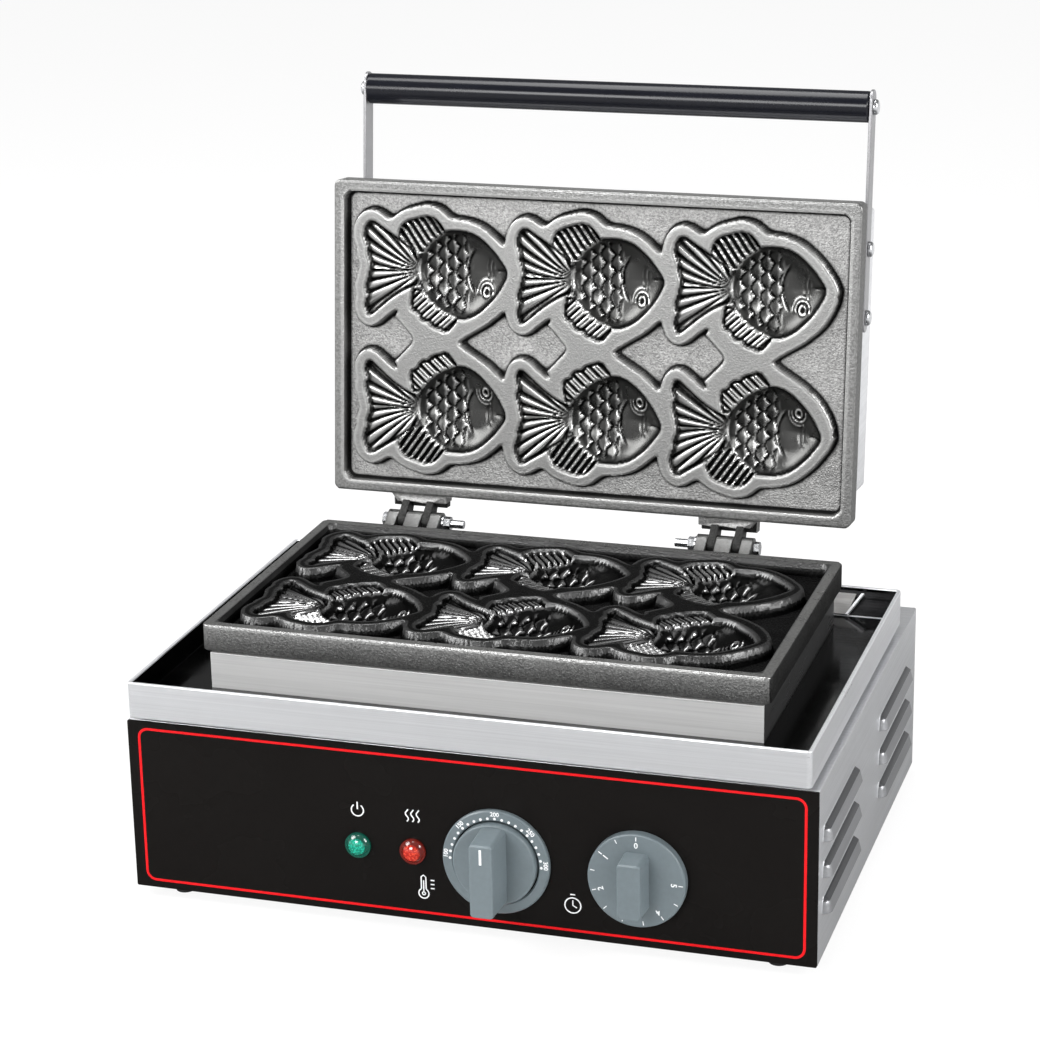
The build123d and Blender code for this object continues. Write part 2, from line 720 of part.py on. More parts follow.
def turning_knob(x: float, skirt: float, lift: float, bar: tuple[float, float, float]) -> Part:
    """Knob with a round skirt, hollow behind, and a bar grip whose long side stands upright."""
    width, length, height = bar
    base = panel_point(x).offset(skirt_lift)
    with BuildPart() as knob:
        with BuildSketch(base):
            Circle(skirt)
        extrude(amount=lift - skirt_lift)
        fillet(knob.edges().filter_by(GeomType.CIRCLE).sort_by(Axis.Y)[0], knob_fillet)
        with BuildSketch(base):
            Circle(skirt - skirt_wall)
            Circle(bushing_radius + skirt_wall, mode=Mode.SUBTRACT)
        extrude(amount=lift - skirt_lift - skirt_wall, mode=Mode.SUBTRACT)
        with BuildSketch(panel_point(x).offset(lift)):
            RectangleRounded(width, length, bar_corner)
        extrude(amount=height - lift, taper=knob_bar_draft)
        fillet(knob.faces().sort_by(Axis.Y)[0].edges(), knob_fillet)
        with BuildSketch(base):
            Circle(bushing_radius + seat_gap)
        extrude(amount=bushing_proud, mode=Mode.SUBTRACT)
        with BuildSketch(base):
            Circle(shaft_radius + running_gap)
            with Locations((0, shaft_radius + running_gap)):
                Rectangle(2 * (shaft_radius + running_gap), 2 * shaft_flat, mode=Mode.SUBTRACT)
        extrude(amount=knob_socket_depth, mode=Mode.SUBTRACT)
    return knob.part


write(switch_body(thermostat_x, thermostat_size), "thermostat")
write(control_shaft(thermostat_x), "thermostat_shaft")
write(turning_knob(thermostat_x, knob_skirt_radius, knob_skirt_height,
                   (knob_bar_width, knob_bar_length, knob_bar_height)), "temperature_knob")
write(switch_body(timer_x, timer_size), "timer")
write(control_shaft(timer_x), "timer_shaft")
write(turning_knob(timer_x, timer_skirt_radius, timer_skirt_height,
                   (timer_bar_width, timer_bar_length, timer_bar_height)), "timer_knob")

with BuildPart() as temperature_dial:
    with BuildSketch(panel_point(thermostat_x).offset(seat_gap)):
        Circle(dial_radius)
        Circle(knob_skirt_radius + dial_gap, mode=Mode.SUBTRACT)
    extrude(amount=dial_thickness)
    chamfer(temperature_dial.edges().filter_by(GeomType.CIRCLE).sort_by(Axis.Y)[:2], dial_chamfer)
write(temperature_dial.part, "temperature_dial")

with BuildPart() as switch_screws:
    for x, height in switch_screw_places:
        add(domed_screw(panel_point(x), screw_radius, screw_length))
write(switch_screws.part, "switch_screws")


def indicator_lamp(x: float) -> Part:
    """Lamp with a domed lens and bezel in front of the panel and its body behind."""
    with BuildPart() as lamp:
        with BuildSketch(Plane(origin=(x, front_y, control_z), x_dir=(1, 0, 0), z_dir=(0, 0, -1))):
            with BuildLine():
                Polyline((0, -lamp_body_length), (lamp_body_radius, -lamp_body_length),
                         (lamp_body_radius, seat_gap), (lamp_radius, seat_gap),
                         (lamp_radius, seat_gap + lamp_bezel_height),
                         (lamp_lens_radius, seat_gap + lamp_bezel_height))
                RadiusArc((lamp_lens_radius, seat_gap + lamp_bezel_height),
                          (0, seat_gap + lamp_bezel_height + lamp_dome_height), -lamp_dome_radius)
                Line((0, seat_gap + lamp_bezel_height + lamp_dome_height), (0, -lamp_body_length))
            make_face()
        revolve(axis=Axis((x, front_y, control_z), (0, -1, 0)))
    return lamp.part


lamp_lens_radius = lamp_radius - lamp_bezel_width
lamp_dome_radius = (lamp_lens_radius ** 2 + lamp_dome_height ** 2) / (2 * lamp_dome_height)
write(indicator_lamp(power_lamp_x), "power_lamp")
write(indicator_lamp(heat_lamp_x), "heat_lamp")

with BuildPart() as lamp_nuts:
    for x in (power_lamp_x, heat_lamp_x):
        with BuildSketch(panel_point(x).offset(-panel_thickness - seat_gap)):
            RegularPolygon(lamp_nut_radius, 6)
            Circle(lamp_body_radius + screw_gap, mode=Mode.SUBTRACT)
        extrude(amount=-lamp_nut_thickness)
write(lamp_nuts.part, "lamp_nuts")

# ---- drip tray and heater box ----------------------------------------------------------------------

with BuildPart() as drip_tray:
    with BuildSketch(Plane.XY.offset(rim_bottom)):
        with Locations((0, tray_mid_y)):
            RectangleRounded(tray_width, tray_depth, tray_corner)
            RectangleRounded(tray_width - 2 * rim_thickness, tray_depth - 2 * rim_thickness,
                             tray_corner - rim_thickness, mode=Mode.SUBTRACT)
    extrude(amount=rim_height)
    fillet(drip_tray.faces().sort_by(Axis.Z)[-1].edges(), rim_thickness * 0.3)
    with BuildSketch(Plane.XY.offset(floor_bottom)):
        with Locations((0, tray_mid_y)):
            Rectangle(tray_width - rim_thickness, tray_depth - rim_thickness)
        with Locations((0, box_mid_y)):
            Rectangle(box_width + 2 * seat_gap, box_depth + 2 * seat_gap, mode=Mode.SUBTRACT)
    extrude(amount=tray_sheet)
    # the rear wall leans forward to its foot
    with BuildSketch(Plane(origin=(-tray_width / 2 + rim_thickness, tray_back_y - rim_thickness, 0),
                           x_dir=(0, 1, 0), z_dir=(1, 0, 0))):
        Polygon((0, rim_top - rim_thickness), (-tray_slope, floor_top), (-tray_slope, floor_bottom),
                (0, floor_bottom), align=None)
    extrude(amount=tray_width - 2 * rim_thickness)
write(drip_tray.part, "drip_tray")

with BuildPart() as heater_box:
    with BuildSketch(Plane.XY.offset(floor_bottom - box_skirt)):
        with Locations((0, box_mid_y)):
            Rectangle(box_width, box_depth)
    extrude(amount=box_top - floor_bottom + box_skirt)
    with BuildSketch(Plane.XY.offset(floor_bottom - box_skirt)):
        with Locations((0, box_mid_y)):
            Rectangle(box_width - 2 * box_sheet, box_depth - 2 * box_sheet)
    extrude(amount=box_top - box_sheet - floor_bottom + box_skirt, mode=Mode.SUBTRACT)
    with BuildSketch(Plane.XY.offset(box_top)):
        with Locations((0, box_mid_y)):
            Rectangle(box_width - 2 * (box_sheet + box_flange), box_depth - 2 * (box_sheet + box_flange))
    extrude(amount=-box_sheet, mode=Mode.SUBTRACT)
    with BuildSketch(Plane.XY.offset(floor_bottom - seat_gap)):
        with Locations((0, box_mid_y)):
            Rectangle(box_width + 2 * box_flange, box_depth + 2 * box_flange)
            Rectangle(box_width - 2 * box_sheet, box_depth - 2 * box_sheet, mode=Mode.SUBTRACT)
    extrude(amount=-box_sheet)
write(heater_box.part, "heater_box")

# ---- lower mould plate with its heater ---------------------------------------------------------------

knuckle_starts = [-middle_knuckle / 2 - seat_gap - lid_lug - seat_gap - outer_knuckle, -middle_knuckle / 2,
                  middle_knuckle / 2 + seat_gap + lid_lug + seat_gap]
knuckle_widths = [outer_knuckle, middle_knuckle, outer_knuckle]
lug_starts = [-middle_knuckle / 2 - seat_gap - lid_lug, middle_knuckle / 2 + seat_gap]
hinge_half_width = -knuckle_starts[0]
plate_bottom_z = face_z - plate_thickness
cast_plate = mould_plate()

with BuildPart() as lower_plate:
    add(lower_face * cast_plate)
    for centre in hinge_centres_x:
        for start, width in zip(knuckle_starts, knuckle_widths):
            with BuildSketch(Plane(origin=(centre + start, plate_back_y, 0), x_dir=(0, 1, 0),
                                   z_dir=(1, 0, 0))):
                with Locations((hinge_behind, hinge_z)):
                    Circle(knuckle_radius)
                with Locations((0, plate_bottom_z + lug_root / 2)):
                    Rectangle(1, lug_root)
                make_hull()
                with Locations((hinge_behind, hinge_z)):
                    Circle(hinge_bolt_radius + running_gap, mode=Mode.SUBTRACT)
            extrude(amount=width)
        # the web behind the plate that the lid's heels stop against
        with BuildSketch(Plane(origin=(centre - hinge_half_width, plate_back_y, plate_bottom_z),
                               x_dir=(0, 1, 0), z_dir=(1, 0, 0))):
            with Locations(((hinge_behind - stop_offset) / 2, web_height / 2)):
                Rectangle(hinge_behind - stop_offset, web_height)
        extrude(amount=2 * hinge_half_width)
write(lower_plate.part, "lower_plate")
write(element_tube(lower_face), "lower_element")
write(element_pan(lower_face, lower_pan_width, lower_pan_length, lower_pan_shift), "lower_element_pan")
write(insulation_pad(lower_face, lower_pan_width, lower_pan_length, lower_pan_shift), "lower_insulation")

nut_height = stud_radius * nut_height_ratio
lower_nut_level = pan_top + pan_depth + seat_gap

with BuildPart() as lower_studs:
    with BuildSketch(under(lower_face, plate_thickness - stud_sink)):
        with Locations(*stud_places):
            Circle(stud_radius)
    extrude(amount=plate_thickness - stud_sink - lower_nut_level - nut_height - lower_stud_tail)
write(lower_studs.part, "lower_studs")

with BuildPart() as lower_nuts:
    for place in stud_places:
        add(hexagon(under(lower_face, lower_nut_level + nut_height) * place, stud_radius, nut_height,
                    stud_radius + screw_gap))
write(lower_nuts.part, "lower_nuts")

with BuildPart() as sensor_bulb:
    with BuildSketch(Plane(origin=(-bulb_length / 2, plate_mid_y, plate_bottom_z - seat_gap - bulb_radius),
                           x_dir=(0, 1, 0), z_dir=(1, 0, 0))):
        Circle(bulb_radius)
    extrude(amount=bulb_length)
    fillet(sensor_bulb.edges().filter_by(GeomType.CIRCLE), bulb_radius * 0.6)
write(sensor_bulb.part, "sensor_bulb")

# ---- lid ---------------------------------------------------------------------------------------------


def lid_point(x: float, reach: float, depth: float) -> Vector:
    """Point on the open lid: its reach from the hinge edge and its depth behind the cooking face."""
    return Vector(x, lid_edge_y + reach * lean_sin + depth * lean_cos,
                  lid_edge_z + reach * lean_cos - depth * lean_sin)


def lid_side(x: float, reach: float = 0.0, depth: float = 0.0, outward: int = 1) -> Plane:
    """Plane across the lid at X, whose own X runs from the hinge edge towards the handle."""
    return Plane(origin=lid_point(x, reach, depth), x_dir=(0, lean_sin, lean_cos), z_dir=(outward, 0, 0))


with BuildPart() as lid_plate:
    add(lid_face * cast_plate)
    for centre in hinge_centres_x:
        outward = 1 if centre > 0 else -1
        with BuildSketch(under(lid_face, 1)):
            with Locations((centre, -plate_depth / 2)):
                Polygon(*((outward * x, y) for x, y in (
                    (-hinge_boss_width / 2, 1), (-hinge_boss_width / 2, -hinge_boss_drop),
                    (hinge_boss_width / 2 - hinge_boss_slope, -hinge_boss_drop),
                    (hinge_boss_width / 2, 1))), align=None)
        extrude(amount=-hinge_boss_height)
        with BuildSketch(under(lid_face, hinge_web_depth)):
            with Locations((centre, -plate_depth / 2 - hinge_web_drop / 2)):
                Rectangle(2 * hinge_half_width, hinge_web_drop)
        extrude(amount=hinge_web_depth - 1 - hinge_boss_height)
        for start in lug_starts:
            with BuildSketch(lid_side(centre + start)):
                with Locations((-hinge_behind, closed_drop)):
                    Circle(knuckle_radius)
                with Locations((0.5 - hinge_boss_drop, -1 - lug_root / 2)):
                    Rectangle(1, lug_root)
                make_hull()
            extrude(amount=lid_lug)
            # heel that stops the open lid
            with BuildSketch(Plane(origin=(centre + start, hinge_y, hinge_z), x_dir=(0, 1, 0),
                                   z_dir=(1, 0, 0))):
                with Locations((seat_gap / 2, -heel_reach / 2)):
                    Rectangle(2 * stop_offset - seat_gap, heel_reach)
            extrude(amount=lid_lug)
            with BuildSketch(lid_side(centre + start)):
                with Locations((-hinge_behind, closed_drop)):
                    Circle(hinge_bolt_radius + running_gap)
            extrude(amount=lid_lug, mode=Mode.SUBTRACT)
write(lid_plate.part, "lid_plate")
write(element_tube(lid_face), "upper_element")
write(element_pan(lid_face, upper_pan_width, upper_pan_length, cover_shift), "upper_element_pan")
write(insulation_pad(lid_face, upper_pan_width, upper_pan_length, cover_shift), "upper_insulation")

arm_bolt_spots = [(reach, arm_behind_face) for reach in arm_bolt_reaches]
lid_gland_plane = Plane(origin=lid_point(link_gland_x, cover_hinge_inset, lid_gland_depth), x_dir=(1, 0, 0),
                        z_dir=(0, -lean_sin, -lean_cos))

with BuildPart() as lid_cover:
    with BuildSketch(under(lid_face, pan_top)):
        with Locations((0, cover_shift)):
            RectangleRounded(cover_width, cover_length, cover_corner)
    extrude(amount=-(cover_back - pan_top))
    fillet(lid_cover.faces().sort_by(Axis(lid_face.origin, lid_face.z_dir))[0].edges(), cover_corner / 2)
    with BuildSketch(under(lid_face, pan_top)):
        with Locations((0, cover_shift)):
            RectangleRounded(cover_width - 2 * cover_sheet, cover_length - 2 * cover_sheet,
                             cover_corner - cover_sheet)
    extrude(amount=-(cover_back - pan_top - cover_sheet), mode=Mode.SUBTRACT)
    with BuildSketch(under(lid_face, cover_back)):
        with Locations(*stud_places):
            Circle(stud_radius + screw_gap)
    extrude(amount=cover_sheet, mode=Mode.SUBTRACT)
    for reach, depth in arm_bolt_spots:
        with BuildSketch(lid_side(-cover_width / 2, reach, depth)):
            Circle(arm_bolt_radius + screw_gap)
        extrude(amount=cover_width, mode=Mode.SUBTRACT)
    with BuildSketch(lid_gland_plane):
        Circle(gland_thread_radius + seat_gap)
    extrude(amount=-cover_sheet, mode=Mode.SUBTRACT)
write(lid_cover.part, "lid_cover")

with BuildPart() as lid_studs:
    with BuildSketch(under(lid_face, plate_thickness - stud_sink)):
        with Locations(*stud_places):
            Circle(stud_radius)
    extrude(amount=plate_thickness - stud_sink - cover_back - cap_nut_height / 2)
write(lid_studs.part, "lid_studs")

with BuildPart() as lid_cap_nuts:
    for place in stud_places:
        seat = under(lid_face, cover_back + seat_gap) * place
        with BuildSketch(seat):
            RegularPolygon(stud_radius * nut_radius_ratio, 6)
        extrude(amount=-nut_height)
        with BuildSketch(seat):
            Circle(stud_radius * nut_radius_ratio * cap_share)
        extrude(amount=-cap_nut_height + seat_gap)
    tips = lid_cap_nuts.faces().group_by(Axis(lid_face.origin, lid_face.z_dir))[0]
    fillet(tips.edges(), stud_radius * nut_radius_ratio * cap_share * 0.8)
    with BuildSketch(under(lid_face, cover_back + seat_gap)):
        with Locations(*stud_places):
            Circle(stud_radius + screw_gap)
    extrude(amount=-cap_nut_height / 2, mode=Mode.SUBTRACT)
write(lid_cap_nuts.part, "lid_cap_nuts")

# ---- hinge bolts -------------------------------------------------------------------------------------

hinge_nut_height = hinge_bolt_radius * nut_height_ratio


def hinge_plane(centre: float, along: float) -> Plane:
    """Plane across a hinge's bolt, facing the appliance's middle, at a distance along the bolt."""
    inward = 1 if centre < 0 else -1
    return Plane(origin=(centre + inward * along, hinge_y, hinge_z), x_dir=(0, 1, 0), z_dir=(inward, 0, 0))


with BuildPart() as hinge_bolts:
    for centre in hinge_centres_x:
        head = hinge_plane(centre, -hinge_half_width - seat_gap)
        with BuildSketch(head):
            Circle(hinge_bolt_radius)
        extrude(amount=2 * hinge_half_width + 3 * seat_gap + washer_thickness + hinge_nut_height
                + hinge_bolt_tail)
        with BuildSketch(head):
            RegularPolygon(hinge_bolt_radius * nut_radius_ratio, 6)
        extrude(amount=-hinge_bolt_radius * bolt_head_ratio)
write(hinge_bolts.part, "hinge_bolts")

with BuildPart() as hinge_washers:
    for centre in hinge_centres_x:
        with BuildSketch(hinge_plane(centre, hinge_half_width + seat_gap)):
            Circle(hinge_bolt_radius * washer_ratio)
            Circle(hinge_bolt_radius + screw_gap, mode=Mode.SUBTRACT)
        extrude(amount=washer_thickness)
write(hinge_washers.part, "hinge_washers")

with BuildPart() as hinge_nuts:
    for centre in hinge_centres_x:
        add(hexagon(hinge_plane(centre, hinge_half_width + 2 * seat_gap + washer_thickness),
                    hinge_bolt_radius, hinge_nut_height, hinge_bolt_radius + screw_gap))
write(hinge_nuts.part, "hinge_nuts")

# ---- handle ------------------------------------------------------------------------------------------

arm_start = arm_bolt_reaches[0] - arm_tail
arm_end = grip_reach + arm_tip


def handle_arm(side: int) -> Part:
    """Flat bar on one side of the lid, with rounded ends and bolt holes."""
    with BuildPart() as arm:
        with BuildSketch(lid_side(side * arm_inner_x, (arm_start + arm_end) / 2, arm_behind_face, side)):
            SlotOverall(arm_end - arm_start, arm_width)
        extrude(amount=arm_thickness)
        for reach, radius in [*((spot, arm_bolt_radius) for spot in arm_bolt_reaches),
                              (grip_reach, grip_screw_radius)]:
            with BuildSketch(lid_side(side * arm_inner_x, reach, arm_behind_face, side)):
                Circle(radius + screw_gap)
            extrude(amount=arm_thickness, mode=Mode.SUBTRACT)
    return arm.part


write(handle_arm(-1), "handle_arm_left")
write(handle_arm(1), "handle_arm_right")

with BuildPart() as handle_grip:
    with BuildSketch(lid_side(-grip_length / 2, grip_reach, arm_behind_face)):
        Circle(grip_radius)
    extrude(amount=grip_length)
    chamfer(handle_grip.edges().filter_by(GeomType.CIRCLE), grip_chamfer)
    with BuildSketch(lid_side(-grip_length / 2, grip_reach, arm_behind_face)):
        Circle(grip_screw_radius + screw_gap)
    extrude(amount=grip_length, mode=Mode.SUBTRACT)
write(handle_grip.part, "handle_grip")

with BuildPart() as grip_screws:
    for side in (-1, 1):
        add(domed_screw(lid_side(side * (arm_outer_x + seat_gap), grip_reach, arm_behind_face, side),
                        grip_screw_radius, grip_screw_length))
write(grip_screws.part, "grip_screws")

arm_bolt_length = arm_thickness + cover_sheet + 3 * seat_gap + arm_bolt_radius * nut_height_ratio

with BuildPart() as arm_bolts:
    for side in (-1, 1):
        for reach in arm_bolt_reaches:
            add(domed_screw(lid_side(side * (arm_outer_x + seat_gap), reach, arm_behind_face, side),
                            arm_bolt_radius, arm_bolt_length))
write(arm_bolts.part, "arm_bolts")

with BuildPart() as arm_nuts:
    for side in (-1, 1):
        for reach in arm_bolt_reaches:
            inner = cover_width / 2 - cover_sheet - seat_gap
            add(hexagon(lid_side(side * inner, reach, arm_behind_face, -side), arm_bolt_radius,
                        arm_bolt_radius * nut_height_ratio, arm_bolt_radius + screw_gap))
write(arm_nuts.part, "arm_nuts")

# ---- electrical fittings ------------------------------------------------------------------------------

mains_plane, link_plane = (Plane(back_plane * Pos(*place)) for place in back_glands)
write(gland(mains_plane), "mains_gland")
write(gland(link_plane), "base_link_gland")
write(gland(lid_gland_plane), "lid_link_gland")
write(gland_nut(lid_gland_plane.offset(-cover_sheet - seat_gap)), "lid_gland_nut")

with BuildPart() as base_gland_nuts:
    for plane in (mains_plane, link_plane):
        add(gland_nut(plane.offset(-casing_sheet - seat_gap)))
write(base_gland_nuts.part, "base_gland_nuts")

block_width, block_length, block_height = block_size
block_x = casing_width / 2 - block_inset_x
block_y = back_y - block_inset_y
way_pitch = block_width / block_ways

with BuildPart() as terminal_block:
    with BuildSketch(Plane.XY.offset(casing_base + bottom_sheet + seat_gap)):
        with Locations((block_x, block_y)):
            Rectangle(block_width, block_length)
    extrude(amount=block_height)
    with BuildSketch(Plane(origin=(block_x, block_y - block_length / 2,
                                   casing_base + bottom_sheet + seat_gap + block_height / 2),
                           x_dir=(1, 0, 0), z_dir=(0, -1, 0))):
        with GridLocations(way_pitch, 1, block_ways, 1):
            Circle(block_bore_radius)
    extrude(amount=-block_length, mode=Mode.SUBTRACT)
    with BuildSketch(Plane.XY.offset(casing_base + bottom_sheet + seat_gap + block_height)):
        with Locations((block_x, block_y)):
            with GridLocations(way_pitch, block_length, block_ways - 1, 2):
                Rectangle(block_slot, block_length / 2)
    extrude(amount=-block_height / 3, mode=Mode.SUBTRACT)
write(terminal_block.part, "terminal_block")
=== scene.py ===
"""Looks of the six-fish taiyaki maker: cast plates, brushed sheet, control panel and fittings."""

import logging
import math
from dataclasses import dataclass, field
from enum import Enum

import bmesh
import bpy
import numpy as np
from mathutils import Matrix, Vector


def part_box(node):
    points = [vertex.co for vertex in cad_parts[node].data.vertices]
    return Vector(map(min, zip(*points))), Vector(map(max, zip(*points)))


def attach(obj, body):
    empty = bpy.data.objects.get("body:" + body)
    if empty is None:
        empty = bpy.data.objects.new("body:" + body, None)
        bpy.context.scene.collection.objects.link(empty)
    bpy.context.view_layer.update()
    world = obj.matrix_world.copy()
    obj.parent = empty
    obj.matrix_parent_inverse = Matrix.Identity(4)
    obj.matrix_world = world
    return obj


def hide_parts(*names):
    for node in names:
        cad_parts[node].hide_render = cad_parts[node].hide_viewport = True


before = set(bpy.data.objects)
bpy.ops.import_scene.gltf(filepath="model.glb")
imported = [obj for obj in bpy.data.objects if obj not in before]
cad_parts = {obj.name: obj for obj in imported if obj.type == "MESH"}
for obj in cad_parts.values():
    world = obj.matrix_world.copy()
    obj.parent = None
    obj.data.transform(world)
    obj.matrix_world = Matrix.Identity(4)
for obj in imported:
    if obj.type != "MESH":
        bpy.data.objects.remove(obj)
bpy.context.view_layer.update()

MM = 0.001
LOG = logging.getLogger("taiyaki_maker")
LEAN = math.radians(6.0)
LID_EDGE = (90.217, 172.169)     # Y and Z of the lid's hinge edge, on its cooking face
PLATE_MID_Y = -28.296
PLATE_FACE_Z = 158.0
FRONT_Y = -159.296
CONTROL_Z = 48.0
HINGE = (86.204, 156.0)
THERMOSTAT_X = 19.7
TIMER_X = 100.8
POWER_LAMP_X = -62.0
HEAT_LAMP_X = -29.5


class Body(Enum):
    """Moving bodies of the appliance."""

    BASE = "base"
    LID = "lid"
    TEMPERATURE = "temperature_knob"
    TIMER = "timer_knob"


class Face(Enum):
    """The two cooking faces that a cast plate can have."""

    LOWER = "lower"
    LID = "lid"


Colour = tuple[float, float, float]


def shaded(colour: Colour, share: float) -> Colour:
    """A colour made darker or lighter, and never over white."""
    return tuple(min(1.0, part * share) for part in colour)


def lid_point(x: float, reach: float, depth: float) -> Vector:
    """Point on the open lid in metres.

    Args:
        x: place along the hinge.
        reach: distance from the hinge edge.
        depth: distance behind the cooking face.

    Returns:
        The point in the part's frame.
    """
    y = LID_EDGE[0] + reach * math.sin(LEAN) + depth * math.cos(LEAN)
    z = LID_EDGE[1] + reach * math.cos(LEAN) - depth * math.sin(LEAN)
    return Vector((x, y, z)) * MM


def panel_point(x: float, height: float, proud: float) -> Vector:
    """Point in front of the control panel, from its X, height and distance in front."""
    return Vector((x, FRONT_Y - proud, height)) * MM


# ---- finishes -----------------------------------------------------------------------------------


class Board:
    """A material's nodes, with one call for each kind that the finishes share."""

    def __init__(self, name: str) -> None:
        """Starts a material with a surface shader only."""
        self.material = bpy.data.materials.new(name)
        self.material.use_nodes = True
        self.tree = self.material.node_tree
        self.surface = self.tree.nodes["Principled BSDF"]
        self.places = self.tree.nodes.new("ShaderNodeTexCoord")

    def node(self, kind: str, **values: object) -> bpy.types.Node:
        """Adds a node and sets its properties."""
        made = self.tree.nodes.new(kind)
        for key, value in values.items():
            setattr(made, key, value)
        return made

    def feed(self, node: bpy.types.Node, key: str | int, value: object) -> None:
        """Links a socket, or sets a constant, on a node's input."""
        if isinstance(value, bpy.types.NodeSocket):
            self.tree.links.new(value, node.inputs[key])
        else:
            node.inputs[key].default_value = value

    def place(self, scale: tuple = (1, 1, 1), shift: tuple = (0, 0, 0)) -> bpy.types.NodeSocket:
        """The object's own coordinates, moved and then stretched."""
        moved = self.node("ShaderNodeVectorMath", operation="SUBTRACT")
        self.feed(moved, 0, self.places.outputs["Object"])
        self.feed(moved, 1, shift)
        stretched = self.node("ShaderNodeVectorMath", operation="MULTIPLY")
        self.feed(stretched, 0, moved.outputs[0])
        self.feed(stretched, 1, scale)
        return stretched.outputs[0]

    def noise(self, vector: bpy.types.NodeSocket, scale: float, detail: float = 2.0,
              rough: float = 0.5) -> bpy.types.NodeSocket:
        """Noise between 0 and 1."""
        made = self.node("ShaderNodeTexNoise")
        self.feed(made, "Vector", vector)
        self.feed(made, "Scale", scale)
        self.feed(made, "Detail", detail)
        self.feed(made, "Roughness", rough)
        return made.outputs[0]

    def sum(self, how: str, a: object, b: object, c: object = 0.0) -> bpy.types.NodeSocket:
        """One step of arithmetic on two or three numbers."""
        made = self.node("ShaderNodeMath", operation=how)
        for index, value in enumerate((a, b, c)):
            self.feed(made, index, value)
        return made.outputs[0]

    def span(self, value: object, low: float, high: float, to_low: float = 0.0,
             to_high: float = 1.0) -> bpy.types.NodeSocket:
        """A number moved from one span to another, with its ends held."""
        made = self.node("ShaderNodeMapRange", clamp=True)
        for index, number in enumerate((value, low, high, to_low, to_high)):
            self.feed(made, index, number)
        return made.outputs[0]

    def blend(self, share: object, a: object, b: object) -> bpy.types.NodeSocket:
        """Colour between two colours."""
        made = self.node("ShaderNodeMix", data_type="RGBA")
        self.feed(made, 0, share)
        for key, value in ((6, a), (7, b)):
            self.feed(made, key, value if isinstance(value, bpy.types.NodeSocket) else (*value, 1.0))
        return made.outputs[2]

    def attribute(self, name: str) -> bpy.types.NodeSocket:
        """A number painted on the mesh."""
        return self.node("ShaderNodeAttribute", attribute_name=name).outputs["Fac"]

    def sideways(self) -> bpy.types.NodeSocket:
        """1 on faces that look to the left or right, 0 on the others."""
        parts = self.node("ShaderNodeSeparateXYZ")
        self.feed(parts, 0, self.places.outputs["Normal"])
        return self.sum("GREATER_THAN", self.sum("ABSOLUTE", parts.outputs[0], 0.0), 0.7)

    def bump(self, height: object, distance: float, strength: float = 1.0) -> None:
        """Gives the surface a relief."""
        made = self.node("ShaderNodeBump")
        self.feed(made, "Height", height)
        self.feed(made, "Distance", distance)
        self.feed(made, "Strength", strength)
        self.feed(self.surface, "Normal", made.outputs[0])

    def shade(self, **values: object) -> bpy.types.Material:
        """Sets the surface shader's inputs, named with underscores, and returns the material."""
        for key, value in values.items():
            name = key.replace("_", " ").title().replace("Ior", "IOR")
            if isinstance(value, tuple) and len(value) == 3:
                value = (*value, 1.0)
            self.feed(self.surface, name, value)
        return self.material


@dataclass(frozen=True)
class BrushedSteel:
    """Stainless sheet with fine lines along X, or along Y on its left and right sides."""

    name: str
    colour: Colour
    rough: float = 0.3
    lines: float = 0.10          # how much the brushing changes the lightness
    smudge: float = 0.08         # how much handling marks change the gloss
    metal: float = 1.0
    brush: float = 0.06          # how much the brushing changes the gloss

    def make(self) -> bpy.types.Material:
        """Builds the material."""
        board = Board(self.name)
        along_x = board.noise(board.place((6, 900, 900)), 1.0, 3.0, 0.6)
        along_y = board.noise(board.place((900, 6, 900)), 1.0, 3.0, 0.6)
        side = board.sideways()
        streak = board.sum("ADD", board.sum("MULTIPLY", along_y, side),
                           board.sum("MULTIPLY", along_x, board.sum("SUBTRACT", 1.0, side)))
        cloud = board.noise(board.place(), 22.0, 4.0, 0.6)
        dark, light = shaded(self.colour, 1 - 2 * self.lines), shaded(self.colour, 1 + self.lines)
        worn = board.blend(board.span(cloud, 0.35, 0.7, 0.0, 0.35), light, dark)
        colour = board.blend(board.span(streak, 0.3, 0.7), dark, worn)
        gloss = board.sum("ADD", board.span(cloud, 0.3, 0.7, -self.smudge / 2, self.smudge / 2),
                          board.span(streak, 0.2, 0.8, self.rough - self.brush, self.rough + self.brush))
        board.bump(streak, 0.00002, 0.5)
        return board.shade(base_color=colour, metallic=self.metal, roughness=gloss, anisotropic=0.35)


